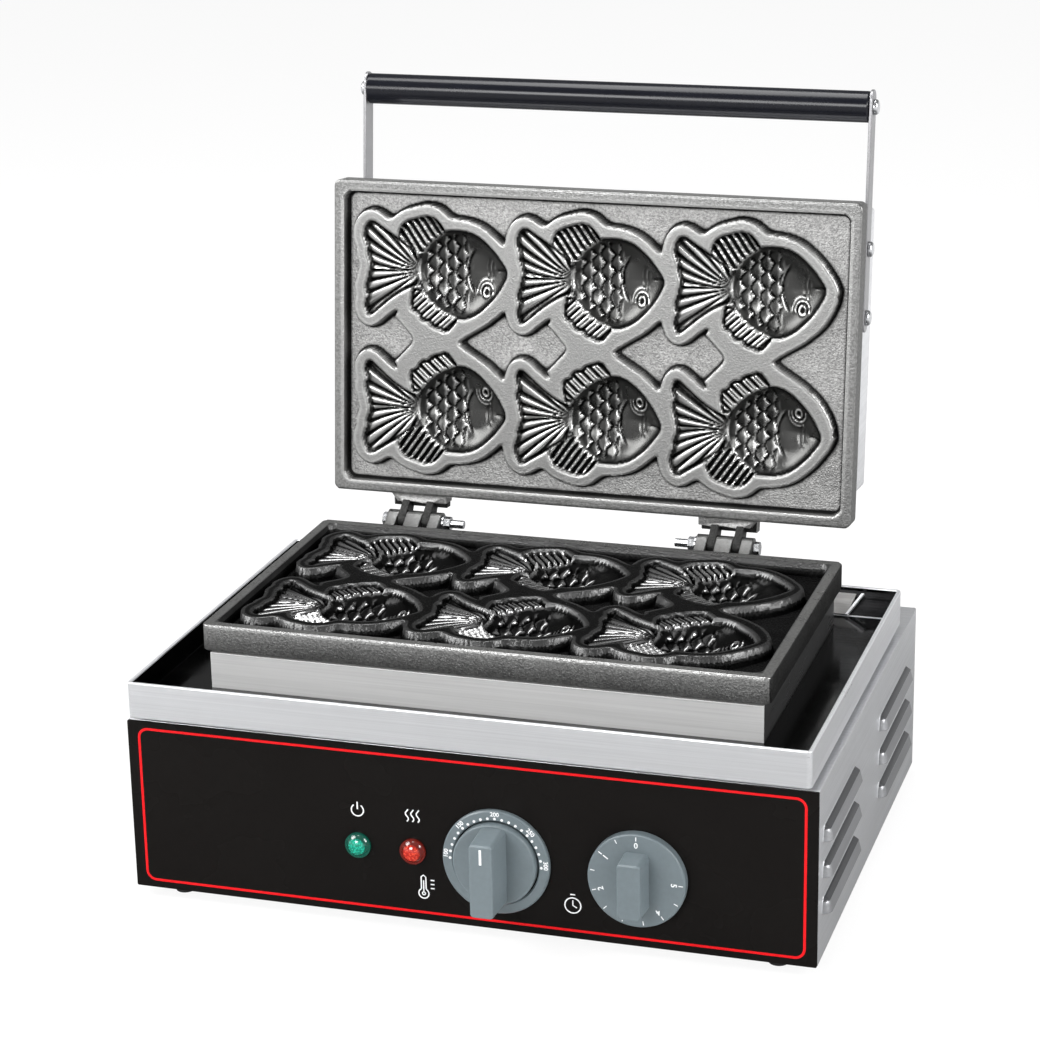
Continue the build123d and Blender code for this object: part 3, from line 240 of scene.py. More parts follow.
@dataclass(frozen=True)
class CastIron:
    """Seasoned cast plate: granular where it is recessed, worn smooth on its lands and in its moulds.

    Grooves, corners and steep walls are darkened to near black: painted shade, with baked oil. Ridges and
    edges are lightened: painted highlight, with wear.
    """

    name: str
    recess: Colour
    land: Colour
    mould: Colour
    rim: Colour
    rubbed_and_highlight: Colour
    gloss: float = 0.3           # roughness in the moulds
    wall_shade: float = 0.82           # how dark the steep walls are
    edge: float = 1.0            # how much it shines at a flat angle
    grain: float = 820.0         # how fine its cast skin is
    flank_shade: float = 0.0           # how much of the rim's lightness its left and right sides lose

    def make(self) -> bpy.types.Material:
        """Builds the material."""
        board = Board(self.name)
        land, mould, rim, wall, hollow = (board.attribute(key)
                                          for key in ("land", "mould", "rim", "wall", "hollow"))
        # Painted shade: the rim colour is darker on the faces that look left and right.
        rim = board.sum("MULTIPLY", rim, board.span(board.sideways(), 0.0, 1.0, 1.0, 1.0 - self.flank_shade))
        grain = board.noise(board.place(), self.grain, 3.0, 0.7)
        blotch = board.noise(board.place(), 60.0, 4.0, 0.65)
        pits = board.node("ShaderNodeTexVoronoi", feature="F1")
        board.feed(pits, "Vector", board.place())
        board.feed(pits, "Scale", 900.0)
        cast = board.blend(board.span(blotch, 0.3, 0.7), shaded(self.recess, 0.8), self.recess)
        speck = board.span(grain, 0.4, 0.64, 0.0, 0.56)
        cast = board.blend(speck, cast, shaded(self.recess, 0.25))
        top = board.blend(board.sum("MULTIPLY", speck, 0.5), self.land, shaded(self.land, 0.6))
        colour = board.blend(land, cast, top)
        colour = board.blend(mould, colour, self.mould)
        colour = board.blend(rim, colour, board.blend(speck, self.rim, shaded(self.rim, 0.34)))
        # Painted highlight, with wear: ridges and edges that stand above their surroundings are lightened.
        worn = board.sum("MULTIPLY", board.span(hollow, -0.03, -0.42, 0.0, 0.92),
                         board.span(mould, 0.0, 1.0, 0.25, 1.0))
        colour = board.blend(worn, colour, self.rubbed_and_highlight)
        # Painted shade, with baked oil: creases, grooves and steep walls are darkened to near black.
        crease = board.sum("MAXIMUM", board.span(hollow, 0.5, 1.5, 0.0, 0.95),
                           board.sum("MULTIPLY", board.span(hollow, 0.1, 0.65, 0.0, 0.96), mould))
        oil_and_shade = board.sum("MAXIMUM", crease, board.sum("MULTIPLY", wall, self.wall_shade))
        colour = board.blend(oil_and_shade, colour, shaded(self.mould, 0.05))
        smooth = board.sum("MAXIMUM", board.sum("MULTIPLY", land, 0.65), mould)
        gloss = board.sum("ADD", board.span(smooth, 0.0, 1.0, 0.5, self.gloss),
                          board.span(blotch, 0.3, 0.7, -0.05, 0.07))
        relief = board.sum("ADD", board.sum("MULTIPLY", grain, 0.6),
                           board.sum("MULTIPLY", pits.outputs["Distance"], 0.5))
        relief = board.sum("MULTIPLY", relief, board.span(smooth, 0.0, 1.0, 1.0, 0.12))
        board.bump(relief, 0.0005, 0.8)
        return board.shade(base_color=colour, metallic=0.85, roughness=gloss, specular_tint=(self.edge,) * 3,
                           specular_ior_level=0.5 * self.edge)


@dataclass(frozen=True)
class Moulded:
    """Moulded or painted surface: plastic, rubber, enamel or ceramic, with a faint skin."""

    name: str
    colour: Colour
    rough: float = 0.35
    fleck: float = 0.08          # how much its lightness varies
    grain: float = 260.0         # how fine its skin is
    relief: float = 0.00002      # depth of the skin, in metres
    specular: float = 0.5

    def make(self) -> bpy.types.Material:
        """Builds the material."""
        board = Board(self.name)
        skin = board.noise(board.place(), self.grain, 3.0, 0.6)
        patch = board.noise(board.place(), 18.0, 3.0, 0.5)
        colour = board.blend(board.span(board.sum("ADD", skin, patch), 0.7, 1.3),
                             shaded(self.colour, 1 - self.fleck), shaded(self.colour, 1 + self.fleck))
        gloss = board.span(patch, 0.3, 0.7, self.rough - 0.04, self.rough + 0.05)
        board.bump(skin, self.relief, 0.6)
        return board.shade(base_color=colour, roughness=gloss, specular_ior_level=self.specular)


@dataclass(frozen=True)
class PlatedSteel:
    """Bright or dull plated metal of the small fittings."""

    name: str
    colour: Colour
    rough: float = 0.22

    def make(self) -> bpy.types.Material:
        """Builds the material."""
        board = Board(self.name)
        wear = board.noise(board.place(), 420.0, 4.0, 0.7)
        colour = board.blend(board.span(wear, 0.4, 0.75, 0.0, 0.7), self.colour, shaded(self.colour, 0.62))
        gloss = board.span(wear, 0.3, 0.7, self.rough, self.rough + 0.16)
        board.bump(wear, 0.00004, 0.5)
        return board.shade(base_color=colour, metallic=1.0, roughness=gloss)


@dataclass(frozen=True)
class LampLens:
    """Translucent lens over a cell-patterned reflector, in a darker bezel, about one lamp's axis."""

    name: str
    deep: Colour
    bright: Colour
    x: float                     # the lamp's place, in mm

    def make(self) -> bpy.types.Material:
        """Builds the material."""
        board = Board(self.name)
        centred = board.place((1, 0, 1), (self.x * MM, 0, CONTROL_Z * MM))
        reach = board.node("ShaderNodeVectorMath", operation="LENGTH")
        board.feed(reach, 0, centred)
        cells = board.node("ShaderNodeTexVoronoi", feature="F1")
        board.feed(cells, "Vector", board.place((1, 0, 1)))
        board.feed(cells, "Scale", 950.0)
        glow = board.blend(board.span(cells.outputs["Distance"], 0.1, 0.6), self.bright, self.deep)
        rim = board.span(reach.outputs["Value"], 0.0044, 0.0052)
        colour = board.blend(rim, glow, shaded(self.deep, 0.25))
        board.bump(cells.outputs["Distance"], 0.00012, 0.5)
        return board.shade(base_color=colour, roughness=0.12, transmission_weight=0.12, coat_weight=1.0,
                           coat_roughness=0.03, emission_color=self.bright, emission_strength=0.06)


@dataclass(frozen=True)
class MineralWool:
    """Matted pale fibres of the pads behind the elements."""

    name: str
    colour: Colour

    def make(self) -> bpy.types.Material:
        """Builds the material."""
        board = Board(self.name)
        fibres = board.noise(board.place((90, 700, 300)), 1.0, 5.0, 0.7)
        tufts = board.noise(board.place(), 90.0, 4.0, 0.6)
        mixed = board.sum("ADD", fibres, tufts)
        colour = board.blend(board.span(mixed, 0.7, 1.3), shaded(self.colour, 0.72), self.colour)
        board.bump(mixed, 0.0008, 0.8)
        return board.shade(base_color=colour, roughness=0.95, sheen_weight=0.2)


@dataclass(frozen=True)
class HeatedTube:
    """Heater tube with straw and blue tints from its own heat."""

    name: str
    colour: Colour

    def make(self) -> bpy.types.Material:
        """Builds the material."""
        board = Board(self.name)
        bands = board.noise(board.place((30, 12, 12)), 1.0, 3.0, 0.6)
        scale = board.noise(board.place(), 500.0, 4.0, 0.7)
        tint = board.blend(board.span(bands, 0.35, 0.65), (0.30, 0.24, 0.17), (0.17, 0.19, 0.24))
        colour = board.blend(board.span(scale, 0.3, 0.7, 0.2, 0.8), self.colour, tint)
        board.bump(scale, 0.00008, 0.6)
        return board.shade(base_color=colour, metallic=0.9, roughness=board.span(scale, 0.3, 0.7, 0.35, 0.6))


class Finishes:
    """Every finish of the appliance, made once."""

    def __init__(self) -> None:
        """Builds all the materials."""
        made = [
            BrushedSteel("casing_steel", (0.78, 0.79, 0.81), rough=0.34, lines=0.06, smudge=0.06, metal=0.7,
                         brush=0.04),
            BrushedSteel("tray_steel", (0.85, 0.86, 0.88), rough=0.30, lines=0.045, smudge=0.03, metal=0.68,
                         brush=0.02),
            # Painted shade: the louvres' hoods darker than the casing, their creases near black.
            BrushedSteel("louvre_steel_shaded", (0.40, 0.405, 0.42), rough=0.36, lines=0.06, smudge=0.06, metal=0.7),
            BrushedSteel("louvre_crease_shade", (0.10, 0.102, 0.107), rough=0.4, lines=0.06, smudge=0.06,
                         metal=0.5),
            BrushedSteel("arm_steel", (0.36, 0.36, 0.37), rough=0.36, lines=0.05, smudge=0.06, metal=0.75),
            BrushedSteel("tray_inside", (0.024, 0.024, 0.025), rough=0.15, lines=0.16, smudge=0.16),
            BrushedSteel("tab_steel", (0.34, 0.335, 0.33), rough=0.34, lines=0.08),
            BrushedSteel("box_steel", (0.88, 0.88, 0.875), rough=0.5, lines=0.05, smudge=0.1, metal=0.3),
            BrushedSteel("box_side_shade", (0.07, 0.07, 0.071), rough=0.3, lines=0.14, smudge=0.14, metal=0.3),
            BrushedSteel("pan_steel", (0.60, 0.60, 0.59), rough=0.38, lines=0.05),
            CastIron("mould_iron", recess=(0.56, 0.557, 0.55), land=(0.32, 0.32, 0.315),
                     mould=(0.078, 0.078, 0.076), rim=(0.29, 0.29, 0.286), rubbed_and_highlight=(0.74, 0.74, 0.73),
                     gloss=0.28, wall_shade=0.95, edge=0.5, grain=560.0),
            # Painted shade: the lower plate's recess, lands and moulds are a near-black copy of the lid's
            # iron; its rim keeps plain iron grey.
            CastIron("mould_iron_lower_shaded", recess=(0.02, 0.02, 0.02), land=(0.022, 0.022, 0.022),
                     mould=(0.018, 0.018, 0.018), rim=(0.36, 0.36, 0.355), rubbed_and_highlight=(0.36, 0.36, 0.36),
                     gloss=0.17, wall_shade=0.0, edge=0.3, grain=620.0, flank_shade=0.85),
            # Painted shade: near-black iron for the lug faces that lie in shadow.
            CastIron("lug_iron_shaded", *[(0.045, 0.045, 0.044)] * 5),
            HeatedTube("element_steel", (0.26, 0.24, 0.22)),
            MineralWool("insulation", (0.86, 0.83, 0.74)),
            PlatedSteel("bright_hardware", (0.74, 0.75, 0.77), rough=0.16),
            PlatedSteel("dull_hardware", (0.46, 0.46, 0.45), rough=0.3),
            PlatedSteel("machined_iron", (0.22, 0.22, 0.217), rough=0.3),
            PlatedSteel("shaft_brass", (0.66, 0.5, 0.24), rough=0.24),
            Moulded("panel_black", (0.0085, 0.0075, 0.007), 0.26, 0.06, 500.0, 0.000006, specular=0.08),
            Moulded("border_red", (0.74, 0.004, 0.008), 0.45, 0.04, 500.0, 0.000004, specular=0.15),
            Moulded("print_white", (0.86, 0.87, 0.88), 0.5, 0.03, 600.0, 0.000004, specular=0.3),
            Moulded("control_grey", (0.145, 0.178, 0.193), 0.34, 0.06, 340.0, 0.00003),
            Moulded("switch_black", (0.035, 0.035, 0.036), 0.42, 0.12, 300.0, 0.00003),
            Moulded("grip_black", (0.006, 0.0065, 0.010), 0.18, 0.1, 240.0, 0.00001, specular=0.28),
            Moulded("foot_rubber", (0.03, 0.03, 0.03), 0.75, 0.2, 500.0, 0.00008, specular=0.3),
            Moulded("block_white", (0.82, 0.81, 0.76), 0.5, 0.04, 300.0, 0.00002),
            LampLens("lamp_green", (0.0, 0.20, 0.13), (0.02, 0.62, 0.42), POWER_LAMP_X),
            LampLens("lamp_red", (0.42, 0.012, 0.006), (0.95, 0.10, 0.045), HEAT_LAMP_X),
        ]
        self.by_name = {finish.name: finish.make() for finish in made}

    def dress(self, piece: bpy.types.Object, finish: str) -> None:
        """Puts one finish on the whole of a piece."""
        material = self.by_name[finish]
        if piece.material_slots:
            for slot in piece.material_slots:
                slot.material = material
        else:
            piece.data.materials.append(material)


# ---- making meshes ------------------------------------------------------------------------------


def freed_mesh(name: str, shape: bmesh.types.BMesh) -> bpy.types.Mesh:
    """A mesh of a bmesh, which is freed."""
    mesh = bpy.data.meshes.new(name)
    shape.to_mesh(mesh)
    shape.free()
    return mesh


class Workshop:
    """Turns outlines and CAD copies into finished pieces, and rides them on their bodies."""

    flat_area = 0.0002               # faces larger than this, in square metres, are flat to their edges

    def __init__(self, finishes: Finishes) -> None:
        """Keeps the finishes at hand."""
        self.finishes = finishes

    def piece(self, name: str, mesh: bpy.types.Mesh, finish: str, body: Body, slot: str = "",
              replaces: tuple[str, ...] = ()) -> bpy.types.Object:
        """Makes an object of a mesh, dresses it and rides it.

        Args:
            name: piece name.
            mesh: its mesh, in place and in metres.
            finish: name of its finish.
            body: body that it moves with.
            slot: the record's material slot, where the finish has another name; not used.
            replaces: CAD nodes that it stands for.

        Returns:
            The finished piece.
        """
        made = bpy.data.objects.new(name, mesh)
        bpy.context.scene.collection.objects.link(made)
        self.finishes.dress(made, finish)
        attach(made, body.value)
        if replaces:
            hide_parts(*replaces)
        LOG.info("%s: %d faces on %s", name, len(mesh.polygons), body.value)
        return made

    def from_bmesh(self, name: str, shape: bmesh.types.BMesh, sharp: float = 30.0) -> bpy.types.Mesh:
        """Closes a bmesh into a mesh, smooth but for large flats and edges over an angle in degrees."""
        mesh = freed_mesh(name, shape)
        mesh.shade_smooth()
        mesh.set_sharp_from_angle(angle=math.radians(sharp))
        for flat in (polygon for polygon in mesh.polygons if polygon.area > self.flat_area):
            for index in flat.loop_indices:
                mesh.edges[mesh.loops[index].edge_index].use_edge_sharp = True
        return mesh

    def cad_copy(self, node: str) -> bmesh.types.BMesh:
        """A CAD node's shape as a closed bmesh with its flat faces joined."""
        shape = bmesh.new()
        shape.from_mesh(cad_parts[node].data)
        bmesh.ops.remove_doubles(shape, verts=shape.verts, dist=0.000002)
        bmesh.ops.dissolve_limit(shape, angle_limit=math.radians(0.3), verts=shape.verts, edges=shape.edges)
        return shape

    def soften(self, shape: bmesh.types.BMesh, width: float, angle: float = 40.0, steps: int = 2) -> None:
        """Breaks the sharp edges of a shape.

        Args:
            shape: what is changed.
            width: width of the broken edge, in mm.
            angle: edges flatter than this, in degrees, stay.
            steps: facets across the broken edge.
        """
        sharp = [edge for edge in shape.edges
                 if len(edge.link_faces) == 2 and edge.calc_face_angle(0.0) > math.radians(angle)
                 and edge.calc_length() > 2 * width * MM]
        bmesh.ops.bevel(shape, geom=sharp, offset=width * MM, segments=steps, profile=0.5, affect="EDGES",
                        clamp_overlap=False)

    def softened(self, node: str, finish: str, body: Body, width: float, slot: str = "") -> bpy.types.Object:
        """A CAD node with its edges broken, standing for the node."""
        shape = self.cad_copy(node)
        self.soften(shape, width)
        mesh = self.from_bmesh(f"{node}_softened", shape, 20.0)
        return self.piece(f"{node}_softened", mesh, finish, body, slot or finish, (node,))


class Nodework:
    """A Geometry Nodes tree with named inputs, run once on a carrier and turned into a mesh."""

    def __init__(self, name: str, sizes: dict[str, float]) -> None:
        """Starts a tree whose inputs are the given sizes."""
        self.tree = bpy.data.node_groups.new(name, "GeometryNodeTree")
        self.tree.interface.new_socket("Geometry", in_out="INPUT", socket_type="NodeSocketGeometry")
        for key, value in sizes.items():
            kind = "NodeSocketInt" if isinstance(value, int) else "NodeSocketFloat"
            self.tree.interface.new_socket(key, in_out="INPUT", socket_type=kind)
        self.tree.interface.new_socket("Geometry", in_out="OUTPUT", socket_type="NodeSocketGeometry")
        self.sizes = sizes
        self.given = self.tree.nodes.new("NodeGroupInput")
        self.result = self.tree.nodes.new("NodeGroupOutput")

    def node(self, kind: str, inputs: dict | None = None, **values: object) -> bpy.types.Node:
        """Adds a node, sets its properties and feeds its inputs."""
        made = self.tree.nodes.new(kind)
        for key, value in values.items():
            setattr(made, key, value)
        for key, value in (inputs or {}).items():
            if isinstance(value, bpy.types.NodeSocket):
                self.tree.links.new(value, made.inputs[key])
            else:
                made.inputs[key].default_value = value
        return made

    def size(self, name: str) -> bpy.types.NodeSocket:
        """The input socket of a named size."""
        return self.given.outputs[name]

    def run(self, geometry: bpy.types.NodeSocket, material: bpy.types.Material) -> bpy.types.Mesh:
        """Ends the tree with real geometry and a material, and returns its mesh."""
        real = self.node("GeometryNodeRealizeInstances", {0: geometry})
        dressed = self.node("GeometryNodeSetMaterial", {"Geometry": real.outputs[0], "Material": material})
        self.tree.links.new(dressed.outputs[0], self.result.inputs[0])
        carrier = bpy.data.objects.new("carrier", bpy.data.meshes.new("carrier"))
        bpy.context.scene.collection.objects.link(carrier)
        modifier = carrier.modifiers.new("nodes", "NODES")
        modifier.node_group = self.tree
        for item in self.tree.interface.items_tree:
            if item.in_out == "INPUT" and item.name in self.sizes:
                modifier[item.identifier] = self.sizes[item.name]
        graph = bpy.context.evaluated_depsgraph_get()
        mesh = bpy.data.meshes.new_from_object(carrier.evaluated_get(graph), depsgraph=graph)
        carrier.modifiers.remove(modifier)
        bpy.data.objects.remove(carrier)
        return mesh


# ---- the cast plates ----------------------------------------------------------------------------


def rounded(points: list[tuple[float, float]], passes: int = 2) -> np.ndarray:
    """A closed outline with its corners cut that many times."""
    line = np.array(points, float)
    for _ in range(passes):
        after = np.roll(line, -1, axis=0)
        line = np.stack([0.75 * line + 0.25 * after, 0.25 * line + 0.75 * after], 1).reshape(-1, 2)
    return line


def smooth_loop(points: list[tuple[float, float]], steps: int = 6) -> np.ndarray:
    """A closed smooth curve through points."""
    p = np.array(points, float)
    before, after, later = np.roll(p, 1, 0), np.roll(p, -1, 0), np.roll(p, -2, 0)
    t = (np.arange(steps) / steps)[None, :, None]
    a, b, c, d = (v[:, None, :] for v in (before, p, after, later))
    curve = 0.5 * (2 * b + (c - a) * t + (2 * a - 5 * b + 4 * c - d) * t ** 2
                   + (3 * b - a - 3 * c + d) * t ** 3)
    return curve.reshape(-1, 2)


def outline_distance(points: np.ndarray, outline: np.ndarray) -> tuple[np.ndarray, np.ndarray]:
    """Signed distance from an outline, and the nearest points on it.

    Args:
        points: places, one a row.
        outline: corners of a closed outline.

    Returns:
        Distances, below zero inside, and nearest points.
    """
    best = np.full(len(points), np.inf)
    nearest = np.zeros_like(points)
    inside = np.zeros(len(points), bool)
    px, py = points[:, 0], points[:, 1]
    for (ax, ay), (bx, by) in zip(outline, np.roll(outline, -1, axis=0)):
        dx, dy = bx - ax, by - ay
        t = np.clip(((px - ax) * dx + (py - ay) * dy) / (dx * dx + dy * dy), 0, 1)
        ex, ey = ax + t * dx, ay + t * dy
        gap = (px - ex) ** 2 + (py - ey) ** 2
        closer = gap < best
        best[closer] = gap[closer]
        nearest[closer, 0], nearest[closer, 1] = ex[closer], ey[closer]
        if dy:
            inside ^= ((ay > py) != (by > py)) & (px < ax + dx * (py - ay) / dy)
    return np.sqrt(best) * np.where(inside, -1, 1), nearest


def ease(value: np.ndarray, low: float, high: float) -> np.ndarray:
    """0 below one value and 1 above another, smooth between."""
    t = np.clip((value - low) / (high - low), 0, 1)
    return t * t * (3 - 2 * t)


@dataclass
class FishMould:
    """Relief of one fish-shaped hollow, nose to +X and back to +Y, in mm below the cooking face."""

    body: list = field(default_factory=lambda: [
        (-14, -1), (-9.5, 11), (-1, 20), (9, 25.5), (18, 27), (27, 23.5), (36, 15.5), (43, 6),
        (46.8, -3.5), (42.5, -11.5), (35.5, -19.5), (26.5, -26.3), (15.5, -29), (4, -27.5), (-6, -21),
        (-12, -11.5)])
    tail: list = field(default_factory=lambda: [
        (-11, 7), (-16.5, 8.7), (-22, 11.5), (-30, 17), (-38, 24), (-42, 27.5), (-45, 27.3), (-47, 23),
        (-47, 19), (-45.5, 15), (-46.5, 13), (-47, 9), (-45.5, 5), (-44.5, 0), (-43.5, -4), (-44.5, -8),
        (-46, -12), (-45.5, -15), (-46.5, -17.5), (-48, -22), (-47.5, -27), (-45, -31.5), (-41, -33),
        (-35, -29), (-27, -24), (-18, -18.5), (-11, -12)])
    back_fin: list = field(default_factory=lambda: [
        (-15, 7), (-16.5, 13), (-17, 19), (-16, 22.7), (-12, 24), (-11, 27), (-8, 29.5), (-4.5, 29.5),
        (-3, 32), (0.5, 33.5), (3, 34), (5.5, 35.3), (9, 35), (11, 32.5), (15.5, 27), (12, 20), (0, 12)])
    belly_fin: list = field(default_factory=lambda: [
        (-25.5, -21.5), (-24.5, -27), (-22.5, -31), (-18, -34), (-12, -35.8), (-7, -37.2), (-2.5, -36.8),
        (0, -35.8), (4, -31.8), (7, -27), (2, -18), (-10, -10), (-20, -17)])
    land: tuple = ((-26.0, 27.0), (-16.0, 38.0), (-14.2, 41.5), (15.0, 41.5), (16.4, 39.4), (26.0, 33.0),
                   (33.5, 28.3), (40.0, 23.0), (45.5, 17.5), (49.8, 10.5), (52.3, 3.5), (52.6, -3.5),
                   (40.0, 0.0), (-10.0, 8.0))
    tail_root: tuple[float, float] = (-10.0, -2.0)
    tail_grooves: tuple[float, ...] = (-62.0, -45.0, -33.0, -21.5, -10.0, 1.0, 12.0, 23.0, 36.0, 55.0)
    fin_depth: float = 4.5
    fin_slope: float = 3.2           # depth gained for each mm in from a fin's edge
    tail_bar: float = 2.6            # height of the bars between the tail's grooves
    back_bar: float = 2.9
    back_pitch: float = 5.6
    belly_spine: float = 3.3
    belly_pitch: float = 4.0
    bowl_depth: float = 13.3
    bowl_reach: float = 26.0         # from the outline in to the bowl's deepest part
    scale_columns: int = 6
    scale_length: float = 5.7
    scale_width: float = 10.4
    scale_step: float = 2.1
    gill_step: float = 1.9
    eye: tuple[float, float] = (30.8, 9.8)

    def distances(self, p: np.ndarray) -> dict[str, tuple[np.ndarray, np.ndarray]]:
        """Distances from the four parts of the fish, and the nearest points on them."""
        shapes = {"body": smooth_loop(self.body), "tail": rounded(self.tail, 1),
                  "back": rounded(self.back_fin, 1), "belly": rounded(self.belly_fin, 1)}
        return {key: outline_distance(p, shape) for key, shape in shapes.items()}

    def fins(self, p: np.ndarray, gaps: dict[str, np.ndarray]) -> np.ndarray:
        """Depth of the three fins with their ribs; 0 outside them."""
        x, y = p[:, 0], p[:, 1]
        slope = self.fin_slope - 1.1 * ease(-x, 36, 42)
        tail = np.clip(-gaps["tail"] * slope, 0, self.fin_depth + 0.5)
        rx, ry = x - self.tail_root[0], y - self.tail_root[1]
        turn = np.degrees(np.arctan2(ry + 0.004 * rx ** 2 * (ry < 0), -rx))
        place = np.interp(turn, self.tail_grooves, np.arange(len(self.tail_grooves)))
        reach = np.hypot(rx, ry)
        bar = self.tail_bar * (1 - np.abs(2 * (place % 1) - 1) ** 3.4) * ease(reach, 1, 14)
        tail = tail - bar * np.clip((-gaps["tail"] - 0.9) / 1.8, 0, 1)
        back = np.clip(-gaps["back"] * self.fin_slope, 0, self.fin_depth)
        place = (0.67 * x + 0.74 * y - 1.0) / self.back_pitch
        split = 1 - 0.35 * np.exp(-((place % 1 - 0.5) / 0.1) ** 2)
        bar = self.back_bar * (1 - np.abs(2 * (place % 1) - 1) ** 4.0) * split
        back = back - bar * np.clip((-gaps["back"] - 0.4) / 1.4, 0, 1)
        belly = np.clip(-gaps["belly"] * 3.0, 0, self.fin_depth + 0.8)
        place = (0.82 * x - 0.57 * y) / self.belly_pitch
        spine = self.belly_spine * np.exp(-((place % 1 - 0.5) * self.belly_pitch / 0.95) ** 4)
        belly = belly - spine * np.clip((-gaps["belly"] - 0.3) / 1.2, 0, 1)
        return np.maximum(np.maximum(tail, back), belly)

    def scales(self, p: np.ndarray, inside: np.ndarray) -> np.ndarray:
        """Extra depth of the overlapping scales, deepest at their tail-side edges."""
        x, y = p[:, 0], p[:, 1]
        past = np.full(len(p), 99.0)
        half = self.scale_width / 2
        for column in range(self.scale_columns):
            across = (y + 1.5 + half * (column % 2) + half) % self.scale_width - half
            edge = -13.5 + self.scale_length * column + 0.11 * across ** 2
            gap = x - edge
            past = np.where((gap >= 0) & (gap < past), gap, past)
        step = self.scale_step * np.clip(1 - past / 6.5, 0, 1)
        return step * ease(inside, 2.0, 5.0) * (1 - ease(x, 14, 19))

    def head(self, p: np.ndarray, inside: np.ndarray) -> np.ndarray:
        """Extra depth of the gill cover, cheek lines, eye and mouth."""
        x, y = p[:, 0], p[:, 1]
        past = x - (17.0 + 0.028 * (y + 3) ** 2)
        gill = self.gill_step * ease(past, -0.5, 0.4) * np.exp(-np.maximum(past, 0) / 3.6)
        gill *= 1 - ease(np.abs(y + 3), 9, 16)
        extra = gill * ease(inside, 2, 4)
        for shift, low, high in ((0.0, -12, 3), (2.6, -9, 1)):
            off = x - (31.5 + shift + 0.03 * (y + 4) ** 2)
            extra += (0.55 * np.exp(-(off / 0.7) ** 2) * ease(y, low - 1, low + 1)
                      * (1 - ease(y, high - 1, high + 1)))
        ex, ey = x - self.eye[0], y - self.eye[1]
        ring = np.hypot(ex / 2.1, ey / 2.6)
        extra -= 1.3 * np.exp(-((ring - 1) / 0.34) ** 2)
        extra += 0.5 * np.exp(-(ring / 0.5) ** 2)
        outer = np.hypot(ex, ey * 0.85)
        under = 1 - ease(ey, 0, 3)
        extra -= 1.1 * np.exp(-((outer - 4.6) / 0.65) ** 2) * under
        extra += 0.6 * np.exp(-((outer - 3.5) / 0.5) ** 2) * under
        extra -= 0.9 * np.exp(-((outer - 6.6) / 0.65) ** 2) * under * (ex < 3)
        mouth = np.abs(y + 4.2 + 0.08 * (x - 40)) / 0.6
        extra += 0.8 * np.exp(-mouth ** 2) * ease(x, 36.5, 38.5)
        return extra

    def depth(self, p: np.ndarray, gaps: dict[str, np.ndarray]) -> np.ndarray:
        """Depth of the whole hollow below the cooking face."""
        inside = np.clip(-gaps["body"], 0, None)
        bowl = self.bowl_depth * np.sqrt(1 - (1 - np.clip(inside / self.bowl_reach, 0, 1)) ** 2)
        floor = bowl + self.scales(p, inside) + self.head(p, inside) * (inside > 0.5)
        body = np.where(inside > 0, floor, 0)
        fins = self.fins(p, gaps)
        return np.where(fins > body, fins, body)


